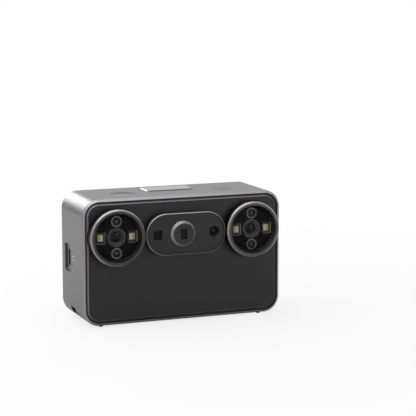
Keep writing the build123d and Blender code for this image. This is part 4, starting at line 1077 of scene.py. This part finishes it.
    @staticmethod
    def skin(mesh: bmesh.types.BMesh, rows: Sequence[Sequence[bmesh.types.BMVert]]) -> None:
        """Close rows of points into a solid: its smooth front, its flat back and its two ends.

        Args:
            mesh: The mesh that the points are in.
            rows: The points, row by row.
        """
        for low, high in zip(rows, rows[1:]):
            for step in range(len(low) - 1):
                mesh.faces.new((low[step], low[step + 1], high[step + 1], high[step])).smooth = True
            mesh.faces.new((low[0], high[0], high[-1], low[-1]))
        mesh.faces.new(rows[0])
        mesh.faces.new(rows[-1])

    @staticmethod
    def smooth(points: Sequence[Point2], rounds: int = 2) -> list[Point2]:
        """Cut an open line's corners until it reads as a curve.

        Args:
            points: The line's points.
            rounds: How often its corners are cut.

        Returns:
            The smoother line, with the same ends.
        """
        for _ in range(rounds):
            cut = [points[0]]
            for (x, y), (far_x, far_y) in zip(points, points[1:]):
                cut.append((0.75 * x + 0.25 * far_x, 0.75 * y + 0.25 * far_y))
                cut.append((0.25 * x + 0.75 * far_x, 0.25 * y + 0.75 * far_y))
            cut.append(points[-1])
            points = cut
        return list(points)


@dataclass
class Controls:
    """The scan button, the power switch with its marks, and the battery door with its latch."""

    button: Finish = Finish("button_metal", (0.142, 0.142, 0.147), (0.134, 0.134, 0.139), (0.32, 0.36), metallic=1.0,
                            wear=grey(0.32))
    plate: Finish = Finish("switch_plate", (0.138, 0.138, 0.143), (0.13, 0.13, 0.135), (0.37, 0.4), metallic=1.0,
                           wear=grey(0.25))
    slider: Finish = Finish("slider_metal", grey(0.03), grey(0.024), (0.3, 0.4), metallic=0.6, wear=grey(0.15))
    door: Finish = Finish("door_metal", (0.138, 0.138, 0.143), (0.13, 0.13, 0.135), (0.37, 0.4), metallic=1.0,
                          wear=grey(0.27))
    latch: Finish = Finish("latch_plastic", grey(0.02), grey(0.016), (0.4, 0.5), wear=grey(0.08))
    pin: Finish = Finish("pin_steel", grey(0.5), grey(0.45), (0.25, 0.35), metallic=1.0)
    ink: Finish = Finish("white_ink", grey(0.55), grey(0.48), (0.5, 0.6), depth=0.002 * MM)
    mark_size: float = 1.4 * MM
    mark_film: float = 0.03 * MM
    mark_gap: float = 3.9 * MM

    def dress(self) -> None:
        """Give the moving parts and what guides them their finishes."""
        Kit.dress(self.button.material(), ("scan_button",))
        Kit.dress(self.plate.material(), ("switch_plate",))
        Kit.dress(self.slider.material(), ("power_slider",))
        Kit.dress(self.door.material(), ("battery_door",))
        Kit.dress(self.latch.material(), ("door_latch",))
        Kit.dress(self.pin.material(), ("hinge_pin",))

    def build(self) -> None:
        """Print the two marks on the switch plate."""
        low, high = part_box("switch_plate")
        middle = (low + high) / 2
        ink = self.ink.material()
        for name, text, up in (("mark_on", "ON", self.mark_gap), ("mark_off", "OFF", -self.mark_gap)):
            place = Facing.RIGHT.matrix(Vector((high.x, middle.y, middle.z + up)))
            Kit.words(name, text, self.mark_size, self.mark_film, place, Body.CASE, ink)


@dataclass
class Inserts:
    """The brass lock insert and the steel tripod insert, with their threads cut."""

    brass: Finish = Finish("insert_brass", (0.56, 0.37, 0.15), (0.46, 0.29, 0.11), (0.2, 0.3), metallic=1.0,
                           wear=(0.75, 0.56, 0.3))
    steel: Finish = Finish("insert_steel", grey(0.5), grey(0.44), (0.25, 0.35), metallic=1.0, wear=grey(0.7))
    lock_bore: Point2 = (0.8 * MM, 0.17 * MM)
    lock_pitch: float = 0.4 * MM
    tripod_bore: Point2 = (2.6 * MM, 0.55 * MM)
    tripod_pitch: float = 1.27 * MM
    bevel_share: float = 0.08
    rows_per_turn: int = 8
    around: int = 40

    def build(self) -> None:
        """Cut both inserts."""
        low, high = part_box("lock_insert")
        self.insert("lock_thread", "lock_insert", Vector((low.x, (low.y + high.y) / 2, (low.z + high.z) / 2)),
                    Vector((1.0, 0.0, 0.0)), high.x - low.x, (high.y - low.y) / 2, self.lock_bore,
                    self.lock_pitch, self.brass, "brass_insert")
        low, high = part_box("tripod_insert")
        self.insert("tripod_thread", "tripod_insert", Vector(((low.x + high.x) / 2, (low.y + high.y) / 2, low.z)),
                    Vector((0.0, 0.0, 1.0)), high.z - low.z, (high.x - low.x) / 2, self.tripod_bore,
                    self.tripod_pitch, self.steel, "steel")

    def insert(self, name: str, node: str, mouth: Vector, inward: Vector, length: float, radius: float,
               bore: Point2, pitch: float, finish: Finish, slot: str) -> None:
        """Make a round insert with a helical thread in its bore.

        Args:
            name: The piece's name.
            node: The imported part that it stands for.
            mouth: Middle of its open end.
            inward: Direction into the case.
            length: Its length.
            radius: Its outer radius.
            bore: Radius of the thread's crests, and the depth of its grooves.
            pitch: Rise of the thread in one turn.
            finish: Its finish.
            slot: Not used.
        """
        rows = max(self.rows_per_turn, round(length / pitch * self.rows_per_turn))
        turn = inward.to_track_quat("Z", "Y").to_matrix().to_4x4()
        place = Matrix.Translation(mouth) @ turn
        mesh = bmesh.new()
        bevel = self.bevel_share * radius
        outside = ((radius - bevel, 0.0), (radius, bevel), (radius, length))
        rings = [[corner] * self.around for corner in outside]
        for row in range(rows, -1, -1):
            height = length * row / rows
            ring = []
            for step in range(self.around):
                phase = (height / pitch - step / self.around) % 1.0
                groove = max(0.0, 1.0 - abs(4 * phase - 2.0)) if 0 < row < rows else 1.0
                ring.append((bore[0] + bore[1] * groove, height))
            rings.append(ring)
        made = []
        for ring in rings:
            verts = []
            for step, (reach, height) in enumerate(ring):
                angle = 2 * math.pi * step / self.around
                spot = Vector((reach * math.cos(angle), reach * math.sin(angle), height))
                verts.append(mesh.verts.new(place @ spot))
            made.append(verts)
        for first, second in zip(made, made[1:] + made[:1]):
            for step in range(self.around):
                after = (step + 1) % self.around
                mesh.faces.new((first[step], first[after], second[after], second[step]))
        piece = Kit.piece(name, mesh, Body.CASE, finish.material())
        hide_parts(node)


@dataclass
class ChargingPort:
    """The charging port's shell, its tongue and the contacts on the tongue."""

    shell: Finish = Finish("port_steel", grey(0.12), grey(0.09), (0.25, 0.35), metallic=1.0, wear=grey(0.3))
    tongue: Finish = Finish("port_tongue", grey(0.012), grey(0.009), (0.5, 0.6))
    gold: Finish = Finish("contact_gold", (0.8, 0.55, 0.2), (0.7, 0.46, 0.15), (0.2, 0.3), metallic=1.0)
    count: int = 12
    pitch: float = 0.5 * MM
    width: float = 0.28 * MM
    film: float = 0.03 * MM
    inset: float = 0.3 * MM
    length_share: float = 0.7

    def dress(self) -> None:
        """Give the port's parts their finishes."""
        Kit.dress(self.shell.material(), ("port_shell",))
        Kit.dress(self.tongue.material(), ("port_tongue",))

    def build(self) -> None:
        """Lay the contact strips on both faces of the tongue."""
        low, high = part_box("port_tongue")
        reach = self.length_share * (high.x - low.x)
        middle = (low + high) / 2
        strips = bmesh.new()
        for step in range(self.count):
            z = middle.z + (step - (self.count - 1) / 2) * self.pitch
            for facing, y in ((Facing.REAR, high.y), (Facing.FRONT, low.y)):
                place = facing.matrix(Vector((low.x + self.inset + reach / 2, y, z)))
                Kit.plate(strips, Kit.rounded(reach, self.width, 0.1 * MM, 2), self.film, place)
        piece = Kit.piece("port_contacts", strips, Body.CASE, self.gold.material())


@dataclass
class Innards:
    """Boards, battery, tray, screws and switches inside the case."""

    board: BoardFinish = BoardFinish("main_board", (0.008, 0.04, 0.022), (0.03, 0.12, 0.06))
    sink: Finish = Finish("heat_sink", grey(0.4), grey(0.34), (0.35, 0.45), metallic=1.0, wear=grey(0.6))
    screws: Finish = Finish("screw_steel", grey(0.42), grey(0.36), (0.25, 0.35), metallic=1.0, wear=grey(0.65))
    wrap: Finish = Finish("battery_wrap", grey(0.014), grey(0.01), (0.28, 0.4), coat=0.3, wear=grey(0.04))
    tray: Finish = Finish("tray_plastic", grey(0.02), grey(0.016), (0.5, 0.6))
    gold: Finish = Finish("spring_gold", (0.8, 0.55, 0.2), (0.7, 0.46, 0.15), (0.2, 0.3), metallic=1.0)
    switch: Finish = Finish("switch_body", grey(0.03), grey(0.024), (0.4, 0.5))
    ink: Finish = Finish("battery_ink", grey(0.5), grey(0.42), (0.5, 0.6), depth=0.002 * MM)
    mark_size: float = 3.0 * MM
    mark_gap: float = 4.0 * MM
    mark_film: float = 0.03 * MM

    def dress(self) -> None:
        """Give the inner parts their finishes."""
        Kit.dress(self.board.material(), ("main_board", "button_board"))
        Kit.dress(self.sink.material(), ("heat_sink",))
        Kit.dress(self.screws.material(), ("cover_screws", "bracket_screws", "board_screws"))
        Kit.dress(self.wrap.material(), ("battery_pack",))
        Kit.dress(self.tray.material(), ("battery_tray",))
        Kit.dress(self.gold.material(), ("battery_contacts",))
        Kit.dress(self.switch.material(), ("button_switch", "slide_switch"))

    def build(self) -> None:
        """Print the poles on the end of the battery that the open door shows."""
        low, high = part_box("battery_pack")
        middle = (low + high) / 2
        ink = self.ink.material()
        for name, text, along in (("mark_plus", "+", self.mark_gap), ("mark_minus", "-", -self.mark_gap)):
            place = Facing.RIGHT.matrix(Vector((high.x, middle.y + along, middle.z)))
            Kit.words(name, text, self.mark_size, self.mark_film, place, Body.CASE, ink)


@dataclass
class SoftBox:
    """A square studio lamp that looks at the scanner."""

    name: str
    place: Colour
    size: float
    power: float
    aim: Colour = (0.0, 0.0, 0.03)

    def build(self) -> None:
        """Hang the lamp."""
        lamp = bpy.data.lights.new(self.name, "AREA")
        lamp.size = self.size
        lamp.energy = self.power
        holder = bpy.data.objects.new(self.name, lamp)
        holder.location = self.place
        holder.rotation_euler = (Vector(self.aim) - Vector(self.place)).to_track_quat("-Z", "Y").to_euler()
        holder.visible_camera = False
        bpy.context.scene.collection.objects.link(holder)


@dataclass
class Studio:
    """White room with a pale floor, soft lamps and the photograph's camera."""

    eye: Colour = (-0.26083, -0.7031, 0.16916)
    look: Colour = (0.3648, 0.91835, -0.15351)
    lens: float = 135.865
    sensor: float = 36.0
    floor_size: float = 6.0
    floor_tones: Point2 = (0.76, 0.8)
    glow_shares: Point2 = (0.8, 1.0)
    glow_reach: Point2 = (0.08, 0.3)
    fill: float = 0.35
    lamps: tuple[SoftBox, ...] = (
        SoftBox("lamp_top", (-0.25, -0.05, 0.9), 1.1, 6.0),
        SoftBox("lamp_left", (-0.45, 0.2, 0.42), 0.4, 0.9),
        SoftBox("lamp_right", (0.3, -0.42, 0.1), 0.2, 0.4, (0.03, -0.015, 0.03)),
        SoftBox("lamp_back", (-0.08, 0.42, 0.17), 0.16, 0.5),
    )

    def build(self) -> None:
        """Set up room, lamps and camera."""
        self.room()
        self.floor()
        for lamp in self.lamps:
            lamp.build()
        self.camera()

    def camera(self) -> None:
        """Put the camera where the photograph was taken."""
        data = bpy.data.cameras.new("camera")
        data.sensor_width = self.sensor
        data.lens = self.lens
        data.clip_start = 0.01
        holder = bpy.data.objects.new("camera", data)
        holder.location = self.eye
        holder.rotation_euler = Vector(self.look).to_track_quat("-Z", "Y").to_euler()
        bpy.context.scene.collection.objects.link(holder)
        bpy.context.scene.camera = holder

    def room(self) -> None:
        """White all round to the eye, a soft fill to everything else."""
        scene = bpy.context.scene
        scene.view_settings.view_transform = "Standard"
        world = bpy.data.worlds.new("room")
        scene.world = world
        world.use_nodes = True
        tree = world.node_tree
        shown = tree.nodes["Background"]
        shown.inputs["Color"].default_value = (1.0, 1.0, 1.0, 1.0)
        shown.inputs["Strength"].default_value = 1.0
        fill = tree.nodes.new("ShaderNodeBackground")
        fill.inputs["Color"].default_value = (1.0, 1.0, 1.0, 1.0)
        fill.inputs["Strength"].default_value = self.fill
        seen = self.seen(tree, glossy=True)
        mixed = tree.nodes.new("ShaderNodeMixShader")
        tree.links.new(seen, mixed.inputs[0])
        tree.links.new(fill.outputs[0], mixed.inputs[1])
        tree.links.new(shown.outputs[0], mixed.inputs[2])
        tree.links.new(mixed.outputs[0], tree.nodes["World Output"].inputs["Surface"])

    @staticmethod
    def seen(tree: bpy.types.NodeTree, glossy: bool) -> Socket:
        """Whether a ray shows the background to the eye, straight on or in a reflection.

        Args:
            tree: The node tree that needs it.
            glossy: Whether reflections and clear glass count too.

        Returns:
            A factor that is 1 for those rays.
        """
        path = tree.nodes.new("ShaderNodeLightPath")
        seen = path.outputs["Is Camera Ray"]
        for name in ("Is Glossy Ray", "Is Transmission Ray") if glossy else ():
            either = tree.nodes.new("ShaderNodeMath")
            either.operation = "MAXIMUM"
            tree.links.new(seen, either.inputs[0])
            tree.links.new(path.outputs[name], either.inputs[1])
            seen = either.outputs[0]
        return seen

    @staticmethod
    def blend(graph: Graph, factor: Socket, first: Socket, second: Socket) -> Socket:
        """Blend two shaders: factor 0 gives the first, 1 the second."""
        node = graph.add("ShaderNodeMixShader")
        for source, target in zip((factor, first, second), node.inputs):
            graph.link(source, target)
        return node.outputs[0]

    def floor(self) -> None:
        """Lay the pale floor: white to the eye apart from the scanner's own shadow, and clear from below."""
        mesh = bmesh.new()
        bmesh.ops.create_grid(mesh, x_segments=8, y_segments=8, size=self.floor_size / 2)
        data = bpy.data.meshes.new("floor")
        mesh.to_mesh(data)
        mesh.free()
        floor = bpy.data.objects.new("floor", data)
        bpy.context.scene.collection.objects.link(floor)
        graph = Graph("pale_floor")
        grain = graph.noise(0.02, 3.0)
        graph.colour(graph.mix(grain, *(grey(tone) for tone in self.floor_tones)))
        graph.rough(graph.spread(grain, (0.7, 0.8)))
        glow = graph.add("ShaderNodeEmission")
        distance = graph.add("ShaderNodeVectorMath", operation="LENGTH")
        graph.link(graph.place, distance.inputs[0])
        share = graph.spread(distance.outputs["Value"], self.glow_shares, *self.glow_reach)
        share = graph.maths("MULTIPLY", share, self.seen(graph.tree, glossy=False))
        under = graph.add("ShaderNodeNewGeometry").outputs["Backfacing"]
        clear = graph.add("ShaderNodeBsdfTransparent")
        shown = self.blend(graph, share, graph.shader.outputs["BSDF"], glow.outputs[0])
        shown = self.blend(graph, under, shown, clear.outputs[0])
        output = next(node for node in graph.tree.nodes if node.bl_idname == "ShaderNodeOutputMaterial")
        graph.link(shown, output.inputs["Surface"])
        data.materials.append(graph.material)


def main() -> None:
    """Dress the scanner, add its finer pieces and set up the studio."""
    logging.basicConfig(level=logging.INFO, format="%(name)s: %(message)s")
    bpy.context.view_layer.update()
    Studio().build()
    assemblies = (CaseShell(), StereoCameras(), OpticsPanel(), Display(), Controls(), ChargingPort(), Innards())
    for assembly in assemblies:
        assembly.dress()
        if hasattr(assembly, "build"):
            assembly.build()
    Inserts().build()


if __name__ == "__main__":
    main()
